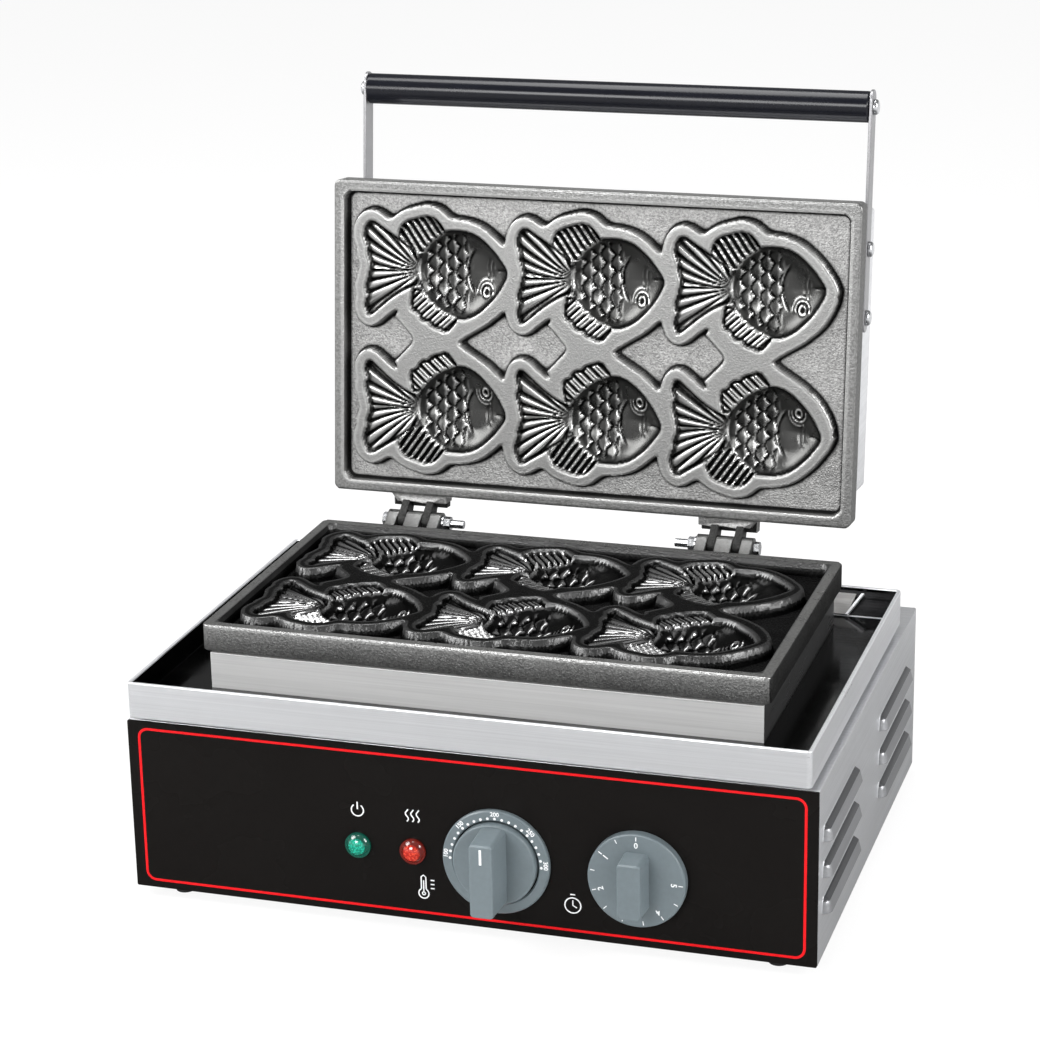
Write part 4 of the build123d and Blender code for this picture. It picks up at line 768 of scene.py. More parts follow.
@dataclass
class CastPlate:
    """A cast mould plate with its rim, raised lands and six fish hollows, and its hinge lugs."""

    width: float = 332.0
    length: float = 196.0
    thickness: float = 15.7
    corner: float = 4.0
    rim: float = 6.5
    recess: float = 8.0
    margin: float = 6.3           # width of the land round each fish
    fillet: float = 1.6           # how softly neighbouring lands run into each other
    wall: float = 1.5             # width of the slope from a land to the recess
    pitch_x: float = 99.4
    pitch_y: float = 82.5
    cell: float = 0.86
    lug_cut: float = 0.4          # how far inside the hinge edge the lugs are cut off
    web_top: float = 166.6        # where the lid's lugs leave their boss
    lug_finish: dict = field(default_factory=lambda: {Face.LOWER: "machined_iron", Face.LID: "mould_iron"})
    mould: FishMould = field(default_factory=FishMould)

    def rulers(self) -> tuple[np.ndarray, np.ndarray]:
        """Grid lines along X and across, closer at the plate's rounded outer edge."""
        lines = []
        for reach in (self.width / 2, self.length / 2):
            count = int(round(2 * (reach - 1.2) / self.cell))
            middle = np.linspace(-reach + 1.2, reach - 1.2, count + 1)
            lines.append(np.concatenate([[-reach, -reach + 0.15, -reach + 0.6], middle,
                                         [reach - 0.6, reach - 0.15, reach]]))
        return lines[0], lines[1]

    def local(self, p: np.ndarray) -> tuple[np.ndarray, np.ndarray, np.ndarray]:
        """Places within their own fish's field, and the column and row of that fish."""
        column = np.clip(np.round(p[:, 0] / self.pitch_x), -1, 1)
        row = np.where(p[:, 1] < 0, -1.0, 1.0)
        return np.stack([p[:, 0] - column * self.pitch_x,
                         -row * (p[:, 1] - row * self.pitch_y / 2)], 1), column, row

    def fish_field(self, p: np.ndarray) -> tuple[dict[str, np.ndarray], list]:
        """Distances from the fish.

        Args:
            p: places on the plate.

        Returns:
            Gaps from each part of the nearest fish, and pairs of distance and nearest point, in
            plate coordinates, for every outline of that fish and its neighbours, lands last.
        """
        q, column, row = self.local(p)
        centre = np.stack([column * self.pitch_x, row * self.pitch_y / 2], 1)
        turn = np.stack([np.ones(len(p)), -row], 1)
        found = self.mould.distances(q)
        pairs = [[distance, centre + nearest * turn] for distance, nearest in found.values()]
        land = outline_distance(q, np.array(self.mould.land, float))
        pairs.append([land[0], centre + land[1] * turn])
        for side in (-1, 1):
            index = np.flatnonzero((side * q[:, 0] > 36) & (np.abs(column + side) < 1.5))
            shift = np.array([side * self.pitch_x, 0])
            spots = q[index] - shift
            beside = [*self.mould.distances(spots).values(),
                      outline_distance(spots, np.array(self.mould.land, float))]
            for pair, (distance, nearest) in zip(pairs, beside):
                closer = distance < pair[0][index]
                pair[0][index[closer]] = distance[closer]
                pair[1][index[closer]] = (centre[index] + (nearest + shift) * turn[index])[closer]
        return {key: value[0] for key, value in found.items()}, pairs

    def survey(self, p: np.ndarray) -> tuple[dict[str, np.ndarray], tuple, tuple]:
        """Distances over the plate.

        Args:
            p: places on the plate.

        Returns:
            Gaps from each part of the nearest fish; the gap from any fish and the way out of it;
            and the gap from any raised land, the rim among them, and the way out of that.
        """
        gaps, pairs = self.fish_field(p)
        reach = np.array([self.width, self.length]) / 2 - self.rim
        bend = np.radians(np.linspace(0, 90, 7))
        corner = np.stack([reach[0] - 6 + 6 * np.cos(bend), reach[1] - 6 + 6 * np.sin(bend)], 1)
        frame_line = np.vstack([corner, corner[::-1] * (-1, 1), -corner, corner[::-1] * (1, -1)])
        inner, near = outline_distance(p, frame_line)
        pairs.append([-inner, near])
        choices = np.stack([pair[0] for pair in pairs])
        ways = np.stack([(p - near) / np.maximum(np.abs(gap), 1e-6)[:, None] * np.sign(gap)[:, None]
                         for gap, near in pairs])
        rows = np.arange(len(p))
        fish = choices[:4].argmin(0)
        lands = choices[:5] - np.array([self.margin] * 4 + [0.0])[:, None]
        least = lands.min(0)
        share = np.exp((least - lands) / self.fillet)
        past = least - self.fillet * np.log(share.sum(0))
        away = (ways[:5] * share[:, :, None]).sum(0)
        away /= np.maximum(np.hypot(*away.T), 1e-6)[:, None]
        framed = choices[5] < past
        past = np.where(framed, choices[5], past)
        away = np.where(framed[:, None], ways[5], away)
        return gaps, (choices[fish, rows], ways[fish, rows]), (past, away)

    def snapped(self, p: np.ndarray) -> np.ndarray:
        """Places moved sideways on to the nearest edge of a land or hollow, for clean edges."""
        _, (gap, out), (past, away) = self.survey(p)
        border = (np.abs(np.abs(p) - np.array([self.width, self.length]) / 2) < 1.3).any(1)
        best = np.full(len(p), np.inf)
        way = np.zeros_like(p)
        for off, direction in ((past, away), (past - self.wall, away), (gap, out), (gap + 1.4, out)):
            closer = np.abs(off) < np.abs(best)
            best[closer], way[closer] = off[closer], direction[closer]
        move = np.where((np.abs(best) < 0.42 * self.cell) & ~border, best, 0.0)
        return p - way * move[:, None]

    def levels(self, p: np.ndarray) -> tuple[np.ndarray, dict[str, np.ndarray]]:
        """Height of the casting at each place, and the shares that its finish reads."""
        gaps, (gap, _), (past, _) = self.survey(p)
        q, _, _ = self.local(p)
        depth = self.mould.depth(q, gaps)
        fall = self.recess * (1 - (1 - np.clip(past / self.wall, 0, 1)) ** 1.6)
        edge = 0.2 * np.clip(1 + past / 0.5, 0, 1) ** 2
        lip = 0.22 * np.clip(1 - gap / 0.6, 0, 1) ** 2
        top = np.where(gap > 0, -np.maximum(np.where(past > 0, fall + 0.2, edge), lip), -depth - lip)
        wander = 0.12 * np.sin(p[:, 0] * 0.21 + 1.3) * np.sin(p[:, 1] * 0.27)
        top = np.where(past > self.wall, top + wander, top)
        out = (np.array([self.width, self.length]) / 2 - np.abs(p)).min(1)
        side = np.clip(1 - out / 1.0, 0, 1)
        top = top - 1.0 * (1 - np.sqrt(np.clip(1 - side ** 2, 0, 1)))
        wall = ease(past, 0.0, 0.8) * (1 - ease(past, self.wall + 0.1, self.wall + 1.5))
        wall = np.maximum(wall, ease(-gap, 0.1, 0.6) * (1 - ease(-gap, 1.0, 2.0)))
        shares = {"land": (1 - ease(past, 0.1, 0.9)) * (gap > -0.1), "mould": ease(-gap, 0.0, 1.2),
                  "wall": wall, "rim": 1 - ease(out, self.rim - 0.6, self.rim + 0.2)}
        return top, shares

    def hollows(self, top: np.ndarray, reach: float) -> np.ndarray:
        """How far each place of a grid lies below its surroundings, in mm, over a reach in cells."""
        steps = np.arange(-int(3 * reach), int(3 * reach) + 1)
        kernel = np.exp(-(steps / reach) ** 2 / 2)
        kernel /= kernel.sum()
        wide = np.pad(top, len(steps) // 2, mode="edge")
        for axis in (0, 1):
            wide = np.apply_along_axis(np.convolve, axis, wide, kernel, "valid")
        return wide - top

    def surface(self) -> tuple[np.ndarray, list, dict[str, np.ndarray]]:
        """The closed casting about its own middle, face at zero.

        Returns:
            Corners in mm, faces, and the shares of each corner that the finish reads.
        """
        xs, ys = self.rulers()
        nx, ny = len(xs), len(ys)
        p = np.stack(np.meshgrid(xs, ys, indexing="ij"), -1).reshape(-1, 2)
        p = self.snapped(p)
        top, shares = self.levels(p)
        field_top = top.reshape(nx, ny)
        shares["hollow"] = self.hollows(field_top, 1.5).ravel()
        reach = np.array([self.width, self.length]) / 2 - self.corner
        past = np.abs(p) - reach
        corner = (past > 0).all(1)
        share = past[corner].max(1) / np.maximum(np.hypot(*past[corner].T), 1e-9)
        p[corner] = np.sign(p[corner]) * (reach + past[corner] * share[:, None])
        grid = np.arange(nx * ny).reshape(nx, ny)
        faces = np.stack([grid[:-1, :-1], grid[1:, :-1], grid[1:, 1:], grid[:-1, 1:]], -1).reshape(-1, 4)
        ring = np.concatenate([grid[:, 0], grid[-1, 1:], grid[-2::-1, -1], grid[0, -2:0:-1]])
        corners = np.column_stack([p, top])
        inner = p[ring] * (1 - 0.8 / np.maximum(np.abs(p[ring]).max(1), 1))[:, None]
        sides = [np.column_stack([p[ring], np.full(len(ring), -2.2)]),
                 np.column_stack([p[ring], np.full(len(ring), 0.8 - self.thickness)]),
                 np.column_stack([inner, np.full(len(ring), -self.thickness)])]
        made = [tuple(face) for face in faces.tolist()]
        above, start = ring, len(corners)
        for layer in range(3):
            below = np.arange(len(ring)) + start + layer * len(ring)
            after_above, after_below = np.roll(above, -1), np.roll(below, -1)
            made += [tuple(f) for f in np.stack([above, below, after_below, after_above], 1).tolist()]
            above = below
        made.append(tuple(above[::-1].tolist()))
        corners = np.vstack([corners, *sides])
        return corners, made, {name: np.concatenate([share, np.full(3 * len(ring), float(name == "rim"))])
                               for name, share in shares.items()}

    def placed(self, corners: np.ndarray, face: Face) -> np.ndarray:
        """Corners in the part's frame, in metres."""
        x, across, up = corners.T
        if face is Face.LOWER:
            return np.column_stack([x, PLATE_MID_Y + across, PLATE_FACE_Z + up]) * MM
        reach = across + self.length / 2
        return np.column_stack([x, LID_EDGE[0] + reach * math.sin(LEAN) - up * math.cos(LEAN),
                                LID_EDGE[1] + reach * math.cos(LEAN) + up * math.sin(LEAN)]) * MM

    def lugs(self, shop: Workshop, node: str, face: Face) -> bpy.types.Mesh:
        """Hinge lugs, webs and heels behind the hinge edge, cut off the CAD node and softened."""
        shape = shop.cad_copy(node)
        if face is Face.LOWER:
            spot = Vector((0, PLATE_MID_Y + self.length / 2 - self.lug_cut, 0)) * MM
            normal = Vector((0, -1, 0))
        else:
            spot, normal = lid_point(0, self.lug_cut, 0), Vector((0, math.sin(LEAN), math.cos(LEAN)))
        cut = bmesh.ops.bisect_plane(shape, geom=[*shape.verts, *shape.edges, *shape.faces], plane_co=spot,
                                     plane_no=normal, clear_outer=True)
        edges = [item for item in cut["geom_cut"] if isinstance(item, bmesh.types.BMEdge)]
        bmesh.ops.holes_fill(shape, edges=edges, sides=0)
        shop.soften(shape, 0.5, 50.0, 3)
        bmesh.ops.recalc_face_normals(shape, faces=shape.faces)
        return shop.from_bmesh(f"{node}_lugs", shape, 40.0)

    def build(self, shop: Workshop) -> None:
        """Makes both plates and their lugs."""
        corners, faces, shares = self.surface()
        for node, face, body, finish in (("lower_plate", Face.LOWER, Body.BASE, "mould_iron_lower_shaded"),
                                         ("lid_plate", Face.LID, Body.LID, "mould_iron")):
            mesh = bpy.data.meshes.new(f"{node}_casting")
            mesh.from_pydata(self.placed(corners, face).tolist(), [], faces)
            for name, values in shares.items():
                mesh.attributes.new(name, "FLOAT", "POINT").data.foreach_set("value", values)
            mesh.shade_smooth()
            mesh.set_sharp_from_angle(angle=math.radians(70))
            shop.piece(f"{node}_casting", mesh, finish, body, "mould_iron", (node,))
            lugs = shop.piece(f"{node}_lugs", self.lugs(shop, node, face), self.lug_finish[face], body,
                              "mould_iron", (node,))
            lugs.data.materials.append(shop.finishes.by_name["lug_iron_shaded"])
            # Painted shade: the lid's lug faces below web_top, and the lower lugs' faces that look back, take
            # the near-black iron.
            for polygon in lugs.data.polygons:
                beyond = polygon.center.z < self.web_top * MM
                polygon.material_index = int(beyond if face is Face.LID else polygon.normal.y > 0.5)


# ---- sheet metal --------------------------------------------------------------------------------


@dataclass
class SheetWork:
    """Casing, tray, heater box and lid cover: folded sheet with broken edges."""

    fold: float = 0.35
    arm_edge: float = 0.4
    tray_wall: float = 2.2           # inside the tray's outer faces, where its darkened inside starts
    tray_rim_z: float = 133.2
    tray_floor_z: float = 119.6
    side_x: float = 200.0            # the casing's outer face, which the louvres' hoods stand out from

    def darken_tray_inside(self, shop: Workshop, tray: bpy.types.Object) -> None:
        """Gives the tray's inside a near-black finish: painted shade, with oil stains."""
        tray.data.materials.append(shop.finishes.by_name["tray_inside"])
        low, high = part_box("drip_tray")
        wall = self.tray_wall * MM
        for face in tray.data.polygons:
            x, y, z = face.center
            within = low.x + wall < x < high.x - wall and low.y + wall < y < high.y - wall
            if within and z < self.tray_rim_z * MM and face.normal.z > -0.3:
                face.material_index = 1

    def shade_louvres(self, shop: Workshop, shell: bpy.types.Object) -> None:
        """Paints the louvres' hoods darker than the casing, darkest on their upward faces in the crease above
        each: painted shade.
        """
        for name in ("louvre_steel_shaded", "louvre_crease_shade"):
            shell.data.materials.append(shop.finishes.by_name[name])
        for face in shell.data.polygons:
            if abs(face.center.x) > (self.side_x + 0.3) * MM:
                face.material_index = 2 if face.normal.z > 0.5 else 1

    def bar(self, shape: bmesh.types.BMesh, ends: tuple, across: tuple, up: tuple) -> None:
        """Adds a bar with a parallelogram section between two points, in mm."""
        steps = ((0, 0), (1, 0), (1, 1), (0, 1))
        rings = [[shape.verts.new((Vector(end) + Vector(across) * a + Vector(up) * b) * MM) for a, b in steps]
                 for end in ends]
        shape.faces.new(rings[0][::-1])
        shape.faces.new(rings[1])
        for index in range(4):
            after = (index + 1) % 4
            shape.faces.new((rings[0][index], rings[0][after], rings[1][after], rings[1][index]))

    def tray_tab(self, shop: Workshop) -> None:
        """Steel tongue with a turned edge on the tray's rear wall, and a bright strip along the rear wall's
        foot: a painted highlight.
        """
        low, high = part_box("drip_tray")
        foot, floor = high.y / MM - 2.4 - 13.0, self.tray_floor_z
        tongue, edges = bmesh.new(), bmesh.new()
        self.bar(tongue, ((148.0, foot + 0.4, floor + 0.5), (152.0, foot + 10.0, floor + 10.6)),
                 (18.5, 0, 0), (0, -0.9, 0.9))
        self.bar(edges, ((165.6, foot - 0.2, floor + 0.3), (173.6, foot + 10.2, floor + 10.8)),
                 (1.7, 0, 0), (0, -1.5, 1.5))
        # Painted highlight: a bright steel strip across the foot of the rear wall.
        self.bar(edges, tuple((x, foot - 0.5, floor - 0.1) for x in (low.x / MM + 3.0, high.x / MM - 3.0)),
                 (0, 1.3, 0.35), (0, -0.25, 0.3))
        for name, shape, finish in (("tray_tab", tongue, "tab_steel"), ("tray_fold_and_highlight", edges, "tray_steel")):
            bmesh.ops.recalc_face_normals(shape, faces=shape.faces)
            shop.piece(name, shop.from_bmesh(name, shape), finish, Body.BASE, "tray_steel")

    def build(self, shop: Workshop) -> None:
        """Softens the sheet pieces and dresses the plain ones."""
        self.shade_louvres(shop, shop.softened("body_shell", "casing_steel", Body.BASE, self.fold))
        shop.softened("lid_cover", "casing_steel", Body.LID, self.fold)
        box = shop.softened("heater_box", "box_steel", Body.BASE, self.fold)
        # Painted shade: the heater box's faces that look left and right take a near-black copy of its steel.
        box.data.materials.append(shop.finishes.by_name["box_side_shade"])
        for face in box.data.polygons:
            face.material_index = int(abs(face.normal.x) > 0.5)
        self.darken_tray_inside(shop, shop.softened("drip_tray", "tray_steel", Body.BASE, self.fold))
        self.tray_tab(shop)
        for node in ("handle_arm_left", "handle_arm_right"):
            shop.softened(node, "arm_steel", Body.LID, self.arm_edge, "casing_steel")


# ---- control panel ------------------------------------------------------------------------------


@dataclass
class ControlPanel:
    """Black panel with its red border, printed symbols, dial marks and knobs."""

    half_width: float = 193.1        # of the border's middle line
    bottom: float = 10.8
    top: float = 104.4
    corner: float = 5.5
    line: float = 1.5
    lift: float = 0.12
    dial_face: float = 3.3
    skirt_face: float = 6.0
    mark_depth: float = 0.00016      # of the printed dots and ticks, in metres
    pointer_face: float = 30.05

    def strip(self, paths: list[tuple[list[tuple[float, float]], bool]], width: float, proud: float,
              name: str) -> bpy.types.Mesh:
        """Thin raised lines that follow paths on the panel's front.

        Args:
            paths: points as X and height, each with whether it closes on itself.
            width: width of the line.
            proud: distance of the line's front before the panel.
            name: name of the mesh.

        Returns:
            The mesh.
        """
        shape = bmesh.new()
        for points, closed in paths:
            line = [Vector(p) for p in points]
            count = len(line)
            rails = []
            for index, spot in enumerate(line):
                before = line[index - 1] if closed or index else spot
                after = line[(index + 1) % count] if closed or index < count - 1 else spot
                along = (after - before).normalized()
                side = Vector((-along.y, along.x)) * width / 2
                rails.append([shape.verts.new(panel_point(*(spot + side * s), proud - back))
                              for s, back in ((-1, self.lift), (-0.85, 0), (0.85, 0), (1, self.lift))])
            pairs = list(zip(rails, rails[1:] + rails[:1]) if closed else zip(rails, rails[1:]))
            for first, second in pairs:
                for index in range(4):
                    after = (index + 1) % 4
                    shape.faces.new((first[index], first[after], second[after], second[index]))
            if not closed:
                shape.faces.new(rails[0])
                shape.faces.new(rails[-1][::-1])
        bmesh.ops.recalc_face_normals(shape, faces=shape.faces)
        return freed_mesh(name, shape)

    def arc(self, x: float, z: float, radius: float, start: float, end: float,
            steps: int = 16) -> list[tuple[float, float]]:
        """Points on an arc about a place on the panel, in degrees clockwise from the top."""
        return [(x + radius * math.sin(math.radians(start + (end - start) * i / steps)),
                 z + radius * math.cos(math.radians(start + (end - start) * i / steps)))
                for i in range(steps + 1)]

    def border(self) -> list[tuple[float, float]]:
        """Middle line of the rounded red border."""
        x, r = self.half_width - self.corner, self.corner
        corners = ((x, self.top - r), (x, self.bottom + r), (-x, self.bottom + r), (-x, self.top - r))
        return [spot for index, place in enumerate(corners)
                for spot in self.arc(*place, r, 90 * index, 90 * index + 90, 8)]

    def symbols(self) -> list[tuple[list[tuple[float, float]], bool]]:
        """Plain pictograms beside the lamps and the two controls."""
        x = POWER_LAMP_X
        paths = [(self.arc(x, 69, 3.6, 35, 325), False), ([(x, 69.5), (x, 74)], False)]
        for x in (HEAT_LAMP_X - 3.2, HEAT_LAMP_X, HEAT_LAMP_X + 3.2):
            paths.append(([(x + 0.9 * math.sin(t * 1.05), 65.5 + t * 1.05) for t in range(8)], False))
        x, z = -24.0, 22.5
        tube = ((-1.4, 2.7), (-1.4, 10), (0, 11.2), (1.4, 10), (1.4, 2.7))
        paths += [(self.arc(x, z, 3.0, 28, 332), False), (self.arc(x, z, 0.9, 0, 359, 10), True),
                  ([(x + across, z + up) for across, up in tube], False), ([(x, z + 1), (x, z + 8)], False)]
        paths += [([(x + 4.2, z + h), (x + 6.4, z + h)], False) for h in (3.5, 6.0, 8.5)]
        x, z = 63.0, 26.0
        paths += [(self.arc(x, z, 4.6, 0, 359, 24), True),
                  ([(x, z + 3.2), (x, z), (x + 2.3, z - 1.2)], False),
                  ([(x - 1.4, z + 6.6), (x + 1.4, z + 6.6)], False)]
        return paths

    def numbers(self, x: float, radius: float, proud: float, size: float, spins: dict[str, float],
                name: str) -> bpy.types.Mesh:
        """Numbers round a control, their feet to its middle.

        Args:
            x: the control's place.
            radius: distance of the numbers' middles from the axis.
            proud: distance of their face before the panel.
            size: height of the type.
            spins: each number with its angle in degrees clockwise from the top.
            name: name of the mesh.

        Returns:
            One mesh of all the numbers.
        """
        shape = bmesh.new()
        for text, angle in spins.items():
            curve = bpy.data.curves.new(name, "FONT")
            curve.body, curve.size, curve.align_x, curve.align_y = text, size, "CENTER", "CENTER"
            curve.extrude, curve.offset, curve.resolution_u = 0.06, 0.09, 3
            carrier = bpy.data.objects.new(name, curve)
            bpy.context.scene.collection.objects.link(carrier)
            graph = bpy.context.evaluated_depsgraph_get()
            mesh = bpy.data.meshes.new_from_object(carrier.evaluated_get(graph), depsgraph=graph)
            bpy.data.objects.remove(carrier)
            turn = math.radians(angle)
            mesh.transform(Matrix.Scale(MM, 4) @ Matrix.Translation((x, FRONT_Y - proud, CONTROL_Z))
                           @ Matrix.Rotation(turn, 4, "Y") @ Matrix.Translation((0, 0, radius))
                           @ Matrix.Rotation(math.radians(90), 4, "X"))
            shape.from_mesh(mesh)
        bmesh.ops.remove_doubles(shape, verts=shape.verts, dist=0.000001)
        return freed_mesh(name, shape)

    def marks(self, name: str, sizes: dict[str, float], material: bpy.types.Material,
              longer: bool) -> bpy.types.Mesh:
        """Dots or ticks round a control, by nodes.

        Args:
            name: name of the tree.
            sizes: its named inputs, in metres and degrees.
            material: their finish.
            longer: ticks where true, dots where false.

        Returns:
            Their mesh about the panel's own axes, still at the origin.
        """
        work = Nodework(name, sizes)
        points = work.node("GeometryNodePoints", {"Count": work.size("Count")})
        index = work.node("GeometryNodeInputIndex")
        angle = work.node("ShaderNodeMath", {0: index.outputs[0], 1: work.size("Step"),
                                             2: work.size("Start")}, operation="MULTIPLY_ADD")
        radians = work.node("ShaderNodeMath", {0: angle.outputs[0]}, operation="RADIANS")
        sine = work.node("ShaderNodeMath", {0: radians.outputs[0]}, operation="SINE")
        cosine = work.node("ShaderNodeMath", {0: radians.outputs[0]}, operation="COSINE")
        spot = work.node("ShaderNodeCombineXYZ", {0: sine.outputs[0], 2: cosine.outputs[0]})
        spread = work.node("ShaderNodeVectorMath", {0: spot.outputs[0], "Scale": work.size("Radius")},
                           operation="SCALE")
        moved = work.node("GeometryNodeSetPosition", {"Geometry": points.outputs[0],
                                                      "Position": spread.outputs[0]})
        turn = work.node("ShaderNodeCombineXYZ", {1: radians.outputs[0]})
        if longer:
            size = work.node("ShaderNodeCombineXYZ", {0: work.size("Width"), 1: self.mark_depth,
                                                      2: work.size("Length")})
            mark = work.node("GeometryNodeMeshCube", {"Size": size.outputs[0]})
        else:
            mark = work.node("GeometryNodeMeshCylinder", {"Vertices": 10, "Radius": work.size("Width"),
                                                          "Depth": self.mark_depth})
            mark = work.node("GeometryNodeTransform", {"Geometry": mark.outputs[0],
                                                       "Rotation": (math.radians(90), 0, 0)})
        copies = work.node("GeometryNodeInstanceOnPoints", {"Points": moved.outputs[0],
                                                            "Instance": mark.outputs[0],
                                                            "Rotation": turn.outputs[0]})
        return work.run(copies.outputs[0], material)

    def build(self, shop: Workshop) -> None:
        """Makes the panel's border, print, dial marks and the knobs' marks."""
        shop.softened("front_panel", "panel_black", Body.BASE, 0.3)
        shop.piece("panel_border", self.strip([(self.border(), True)], self.line, self.lift, "panel_border"),
                   "border_red", Body.BASE, "panel_black")
        shop.piece("panel_symbols", self.strip(self.symbols(), 0.75, self.lift, "panel_symbols"),
                   "print_white", Body.BASE, "panel_black")
        ink = shop.finishes.by_name["print_white"]
        dots = self.marks("dial_dots", {"Count": 21, "Start": -90.0, "Step": 9.0, "Radius": 26.4 * MM,
                                        "Width": 0.85 * MM}, ink, False)
        dots.transform(Matrix.Translation(panel_point(THERMOSTAT_X, CONTROL_Z, self.dial_face)))
        shop.piece("dial_dots", dots, "print_white", Body.BASE, "control_grey")
        spins = {"100": -85.0, "150": -45.0, "200": 0.0, "250": 45.0, "300": 87.0}
        numbers = self.numbers(THERMOSTAT_X, 28.9, self.dial_face, 3.5, spins, "dial_numbers")
        shop.piece("dial_numbers", numbers, "print_white", Body.BASE, "control_grey")
        ticks = self.marks("timer_ticks", {"Count": 11, "Start": -270.0, "Step": 27.0, "Radius": 25.0 * MM,
                                           "Width": 0.5 * MM, "Length": 2.4 * MM}, ink, True)
        ticks.transform(Matrix.Translation(panel_point(TIMER_X, CONTROL_Z, self.skirt_face)))
        shop.piece("timer_ticks", ticks, "print_white", Body.TIMER, "control_grey")
        spins = {str(number): -54.0 * number for number in range(6)}
        numbers = self.numbers(TIMER_X, 21.0, self.skirt_face, 4.6, spins, "timer_numbers")
        shop.piece("timer_numbers", numbers, "print_white", Body.TIMER, "control_grey")
        pointer = [([(THERMOSTAT_X, CONTROL_Z + 10.5), (THERMOSTAT_X, CONTROL_Z + 19.5)], False)]
        shop.piece("knob_pointer", self.strip(pointer, 1.5, self.pointer_face, "knob_pointer"), "print_white",
                   Body.TEMPERATURE, "control_grey")


# ---- hinges and threads -------------------------------------------------------------------------


@dataclass
class HingeThreads:
    """Screw thread on the bolts' bare ends, wound by nodes."""

    radius: float = 2.5
    pitch: float = 0.8
    length: float = 7.6
    ridge: float = 0.24
    lug_reach: float = 17.6          # from the middle of a hinge to the outside of its lugs
    nut: float = 5.9                 # washer and nut
    bare: float = 0.4

    def build(self, shop: Workshop) -> None:
        """Winds one thread for each hinge bolt."""
        material = shop.finishes.by_name["bright_hardware"]
        for label, middle, way in (("left", -110, 1), ("right", 90, -1)):
            start = middle + way * self.lug_reach + way * self.nut + way * self.bare
            turns = self.length / self.pitch
            work = Nodework(f"bolt_thread_{label}", {"Turns": turns, "Radius": self.radius * MM,
                                                     "Length": self.length * MM, "Ridge": self.ridge * MM})
            helix = work.node("GeometryNodeCurveSpiral", {"Resolution": 14, "Rotations": work.size("Turns"),
                                                          "Start Radius": work.size("Radius"),
                                                          "End Radius": work.size("Radius"),
                                                          "Height": work.size("Length")})
            ridge = work.node("GeometryNodeCurvePrimitiveCircle",
                              {"Resolution": 4, "Radius": work.size("Ridge")})
            tube = work.node("GeometryNodeCurveToMesh", {"Curve": helix.outputs[0],
                                                         "Profile Curve": ridge.outputs[0],
                                                         "Fill Caps": True})
            mesh = work.run(tube.outputs[0], material)
            place = Vector((start, HINGE[0], HINGE[1])) * MM
            mesh.transform(Matrix.Translation(place) @ Matrix.Rotation(math.radians(90 * way), 4, "Y"))
            shop.piece(f"bolt_thread_{label}", mesh, "bright_hardware", Body.BASE)


# ---- the CAD nodes that keep their shape -----------------------------------------------------------


@dataclass
class PlainNodes:
    """CAD nodes shown as they are, each with its own finish."""

    finish_of: dict[str, str] = field(default_factory=lambda: {
        "bottom_plate": "casing_steel", "lower_element": "element_steel", "upper_element": "element_steel",
        "lower_element_pan": "pan_steel", "upper_element_pan": "pan_steel",
        "lower_insulation": "insulation", "upper_insulation": "insulation",
        "hinge_bolts": "bright_hardware", "hinge_washers": "bright_hardware", "hinge_nuts": "bright_hardware",
        "lid_cap_nuts": "bright_hardware", "grip_screws": "bright_hardware", "arm_bolts": "bright_hardware",
        "base_screws": "dull_hardware", "foot_screws": "dull_hardware", "lower_studs": "dull_hardware",
        "lower_nuts": "dull_hardware", "switch_screws": "dull_hardware", "lid_studs": "dull_hardware",
        "arm_nuts": "dull_hardware", "temperature_dial": "control_grey", "temperature_knob": "control_grey",
        "timer_knob": "control_grey", "thermostat": "switch_black", "timer": "switch_black",
        "lamp_nuts": "switch_black", "mains_gland": "switch_black", "base_link_gland": "switch_black",
        "base_gland_nuts": "switch_black", "lid_link_gland": "switch_black", "lid_gland_nut": "switch_black",
        "power_lamp": "lamp_green", "heat_lamp": "lamp_red", "handle_grip": "grip_black",
        "feet": "foot_rubber", "terminal_block": "block_white", "sensor_bulb": "shaft_brass",
        "thermostat_shaft": "shaft_brass", "timer_shaft": "shaft_brass"})

    def build(self, shop: Workshop) -> None:
        """Dresses every node."""
        for node, finish in self.finish_of.items():
            shop.finishes.dress(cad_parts[node], finish)
            LOG.info("%s: %s", node, finish)


# ---- studio -------------------------------------------------------------------------------------


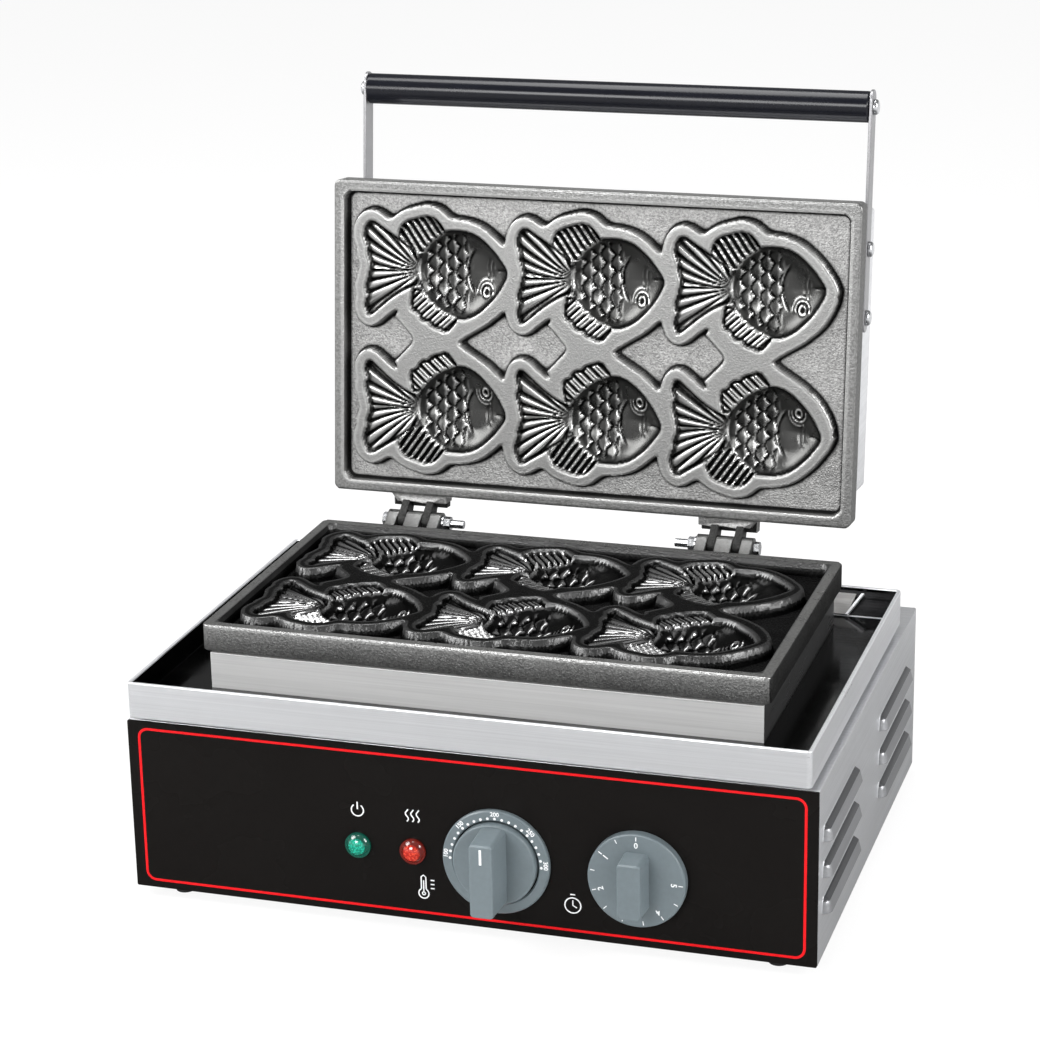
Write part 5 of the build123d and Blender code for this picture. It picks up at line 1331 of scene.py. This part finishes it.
@dataclass
class Studio:
    """Pale floor, soft lamps and the camera at the photograph's angle."""

    place: tuple[float, float, float] = (0.4846, -1.5675, 0.7393)
    axes: tuple = ((0.9546, 0.2974, -0.018), (-0.0775, 0.3064, 0.9487), (0.2877, -0.9043, 0.3155))
    lens: float = 101.66
    floor_shine: tuple[float, float] = (0.12, 0.92)      # near the appliance and far from it
    zenith: float = 0.4
    lamps: tuple = (("key", (-1.75, -0.55, 1.55), (0, 0, 0.2), (1.2, 1.2), 44),
                    ("top", (-0.35, 0.25, 2.2), (0, 0, 0.15), (1.3, 0.9), 28),
                    ("right", (2.1, -0.5, 1.3), (0, 0, 0.1), (1.0, 1.2), 40),
                    ("front", (-0.7, -2.6, 1.3), (0, 0, 0.1), (1.1, 0.8), 36))
    bands: tuple = ((0.5, 0.85), (0.57, 0.7), (0.65, 0.22), (0.86, 0.2))   # height share and brightness

    def floor(self) -> None:
        """A wide floor that is white to the camera and to reflections, and keeps the shadow."""
        shape = bmesh.new()
        bmesh.ops.create_grid(shape, x_segments=2, y_segments=2, size=30.0)
        ground = bpy.data.objects.new("floor", freed_mesh("floor", shape))
        bpy.context.scene.collection.objects.link(ground)
        board = Board("floor_white")
        board.shade(base_color=(0.93, 0.93, 0.93), roughness=0.9, specular_ior_level=0.0)
        reach = board.node("ShaderNodeVectorMath", operation="LENGTH")
        board.feed(reach, 0, board.place())
        rays = board.node("ShaderNodeLightPath")
        eye, shine = rays.outputs["Is Camera Ray"], rays.outputs["Is Glossy Ray"]
        level = board.sum("MULTIPLY", board.span(reach.outputs["Value"], 0.4, 1.05, *self.floor_shine), shine)
        glow = board.node("ShaderNodeEmission")
        board.feed(glow, "Color", (1, 1, 1, 1))
        board.feed(glow, "Strength", board.sum("MAXIMUM", level, board.sum("MULTIPLY", eye, 1.04)))
        seen = board.sum("MAXIMUM", board.sum("MULTIPLY", eye, 0.86), board.sum("MULTIPLY", shine, 0.95))
        mixed = board.node("ShaderNodeMixShader")
        board.feed(mixed, 0, seen)
        board.feed(mixed, 1, board.surface.outputs[0])
        board.feed(mixed, 2, glow.outputs[0])
        board.feed(board.tree.nodes["Material Output"], "Surface", mixed.outputs[0])
        ground.data.materials.append(board.material)

    def lamp(self, name: str, spot: tuple, aim: tuple, size: tuple, power: float) -> None:
        """A soft rectangular lamp.

        Args:
            name: its name.
            spot: its place.
            aim: the point that it lights.
            size: its width and height.
            power: its power in watts.
        """
        light = bpy.data.lights.new(name, "AREA")
        light.shape, light.size, light.size_y, light.energy = "RECTANGLE", size[0], size[1], power
        holder = bpy.data.objects.new(name, light)
        bpy.context.scene.collection.objects.link(holder)
        turn = (Vector(aim) - Vector(spot)).to_track_quat("-Z", "Y")
        holder.matrix_world = Matrix.LocRotScale(Vector(spot), turn, None)

    def world(self) -> None:
        """Surroundings bright at the horizon and darker above, and white where the camera sees them."""
        world = bpy.data.worlds.new("surround")
        world.use_nodes = True
        tree = world.node_tree
        back = tree.nodes["Background"]
        places = tree.nodes.new("ShaderNodeTexCoord")
        parts = tree.nodes.new("ShaderNodeSeparateXYZ")
        tree.links.new(places.outputs["Generated"], parts.inputs[0])
        height = tree.nodes.new("ShaderNodeMapRange")
        tree.links.new(parts.outputs[2], height.inputs[0])
        height.inputs[1].default_value = -1.0
        bands = tree.nodes.new("ShaderNodeValToRGB")
        tree.links.new(height.outputs[0], bands.inputs[0])
        stops = bands.color_ramp.elements
        stops[0].position, stops[1].position = 0.0, 1.0
        for stop, level in zip(stops, (0.8, self.zenith)):
            stop.color = (level, level, level, 1)
        for position, level in self.bands:
            stops.new(position).color = (level, level, level, 1)
        rays = tree.nodes.new("ShaderNodeLightPath")
        seen = tree.nodes.new("ShaderNodeMath")
        seen.operation = "MAXIMUM"
        for index, kind in enumerate(("Is Camera Ray", "Is Transmission Ray")):
            tree.links.new(rays.outputs[kind], seen.inputs[index])
        shown = tree.nodes.new("ShaderNodeMix")
        shown.data_type = "RGBA"
        tree.links.new(seen.outputs[0], shown.inputs[0])
        tree.links.new(bands.outputs[0], shown.inputs[6])
        shown.inputs[7].default_value = (1, 1, 1, 1)
        tree.links.new(shown.outputs[2], back.inputs[0])
        back.inputs[1].default_value = 1.0
        bpy.context.scene.world = world

    def build(self) -> None:
        """Sets the floor, lamps, surroundings and camera."""
        self.floor()
        self.world()
        for lamp in self.lamps:
            self.lamp(*lamp)
        data = bpy.data.cameras.new("camera")
        data.lens, data.sensor_width = self.lens, 36.0
        eye = bpy.data.objects.new("camera", data)
        bpy.context.scene.collection.objects.link(eye)
        right, up, back = (Vector(axis) for axis in self.axes)
        eye.matrix_world = Matrix.Translation(self.place) @ Matrix((right, up, back)).transposed().to_4x4()
        bpy.context.scene.camera = eye
        bpy.context.scene.view_settings.view_transform = "Standard"


def main() -> None:
    """Builds the appliance's sub-assemblies in order, then the studio."""
    logging.basicConfig(level=logging.INFO, format="%(message)s")
    shop = Workshop(Finishes())
    for part in (PlainNodes(), CastPlate(), SheetWork(), ControlPanel(), HingeThreads()):
        LOG.info("-- %s", type(part).__name__)
        part.build(shop)
    Studio().build()


if __name__ == "__main__":
    main()
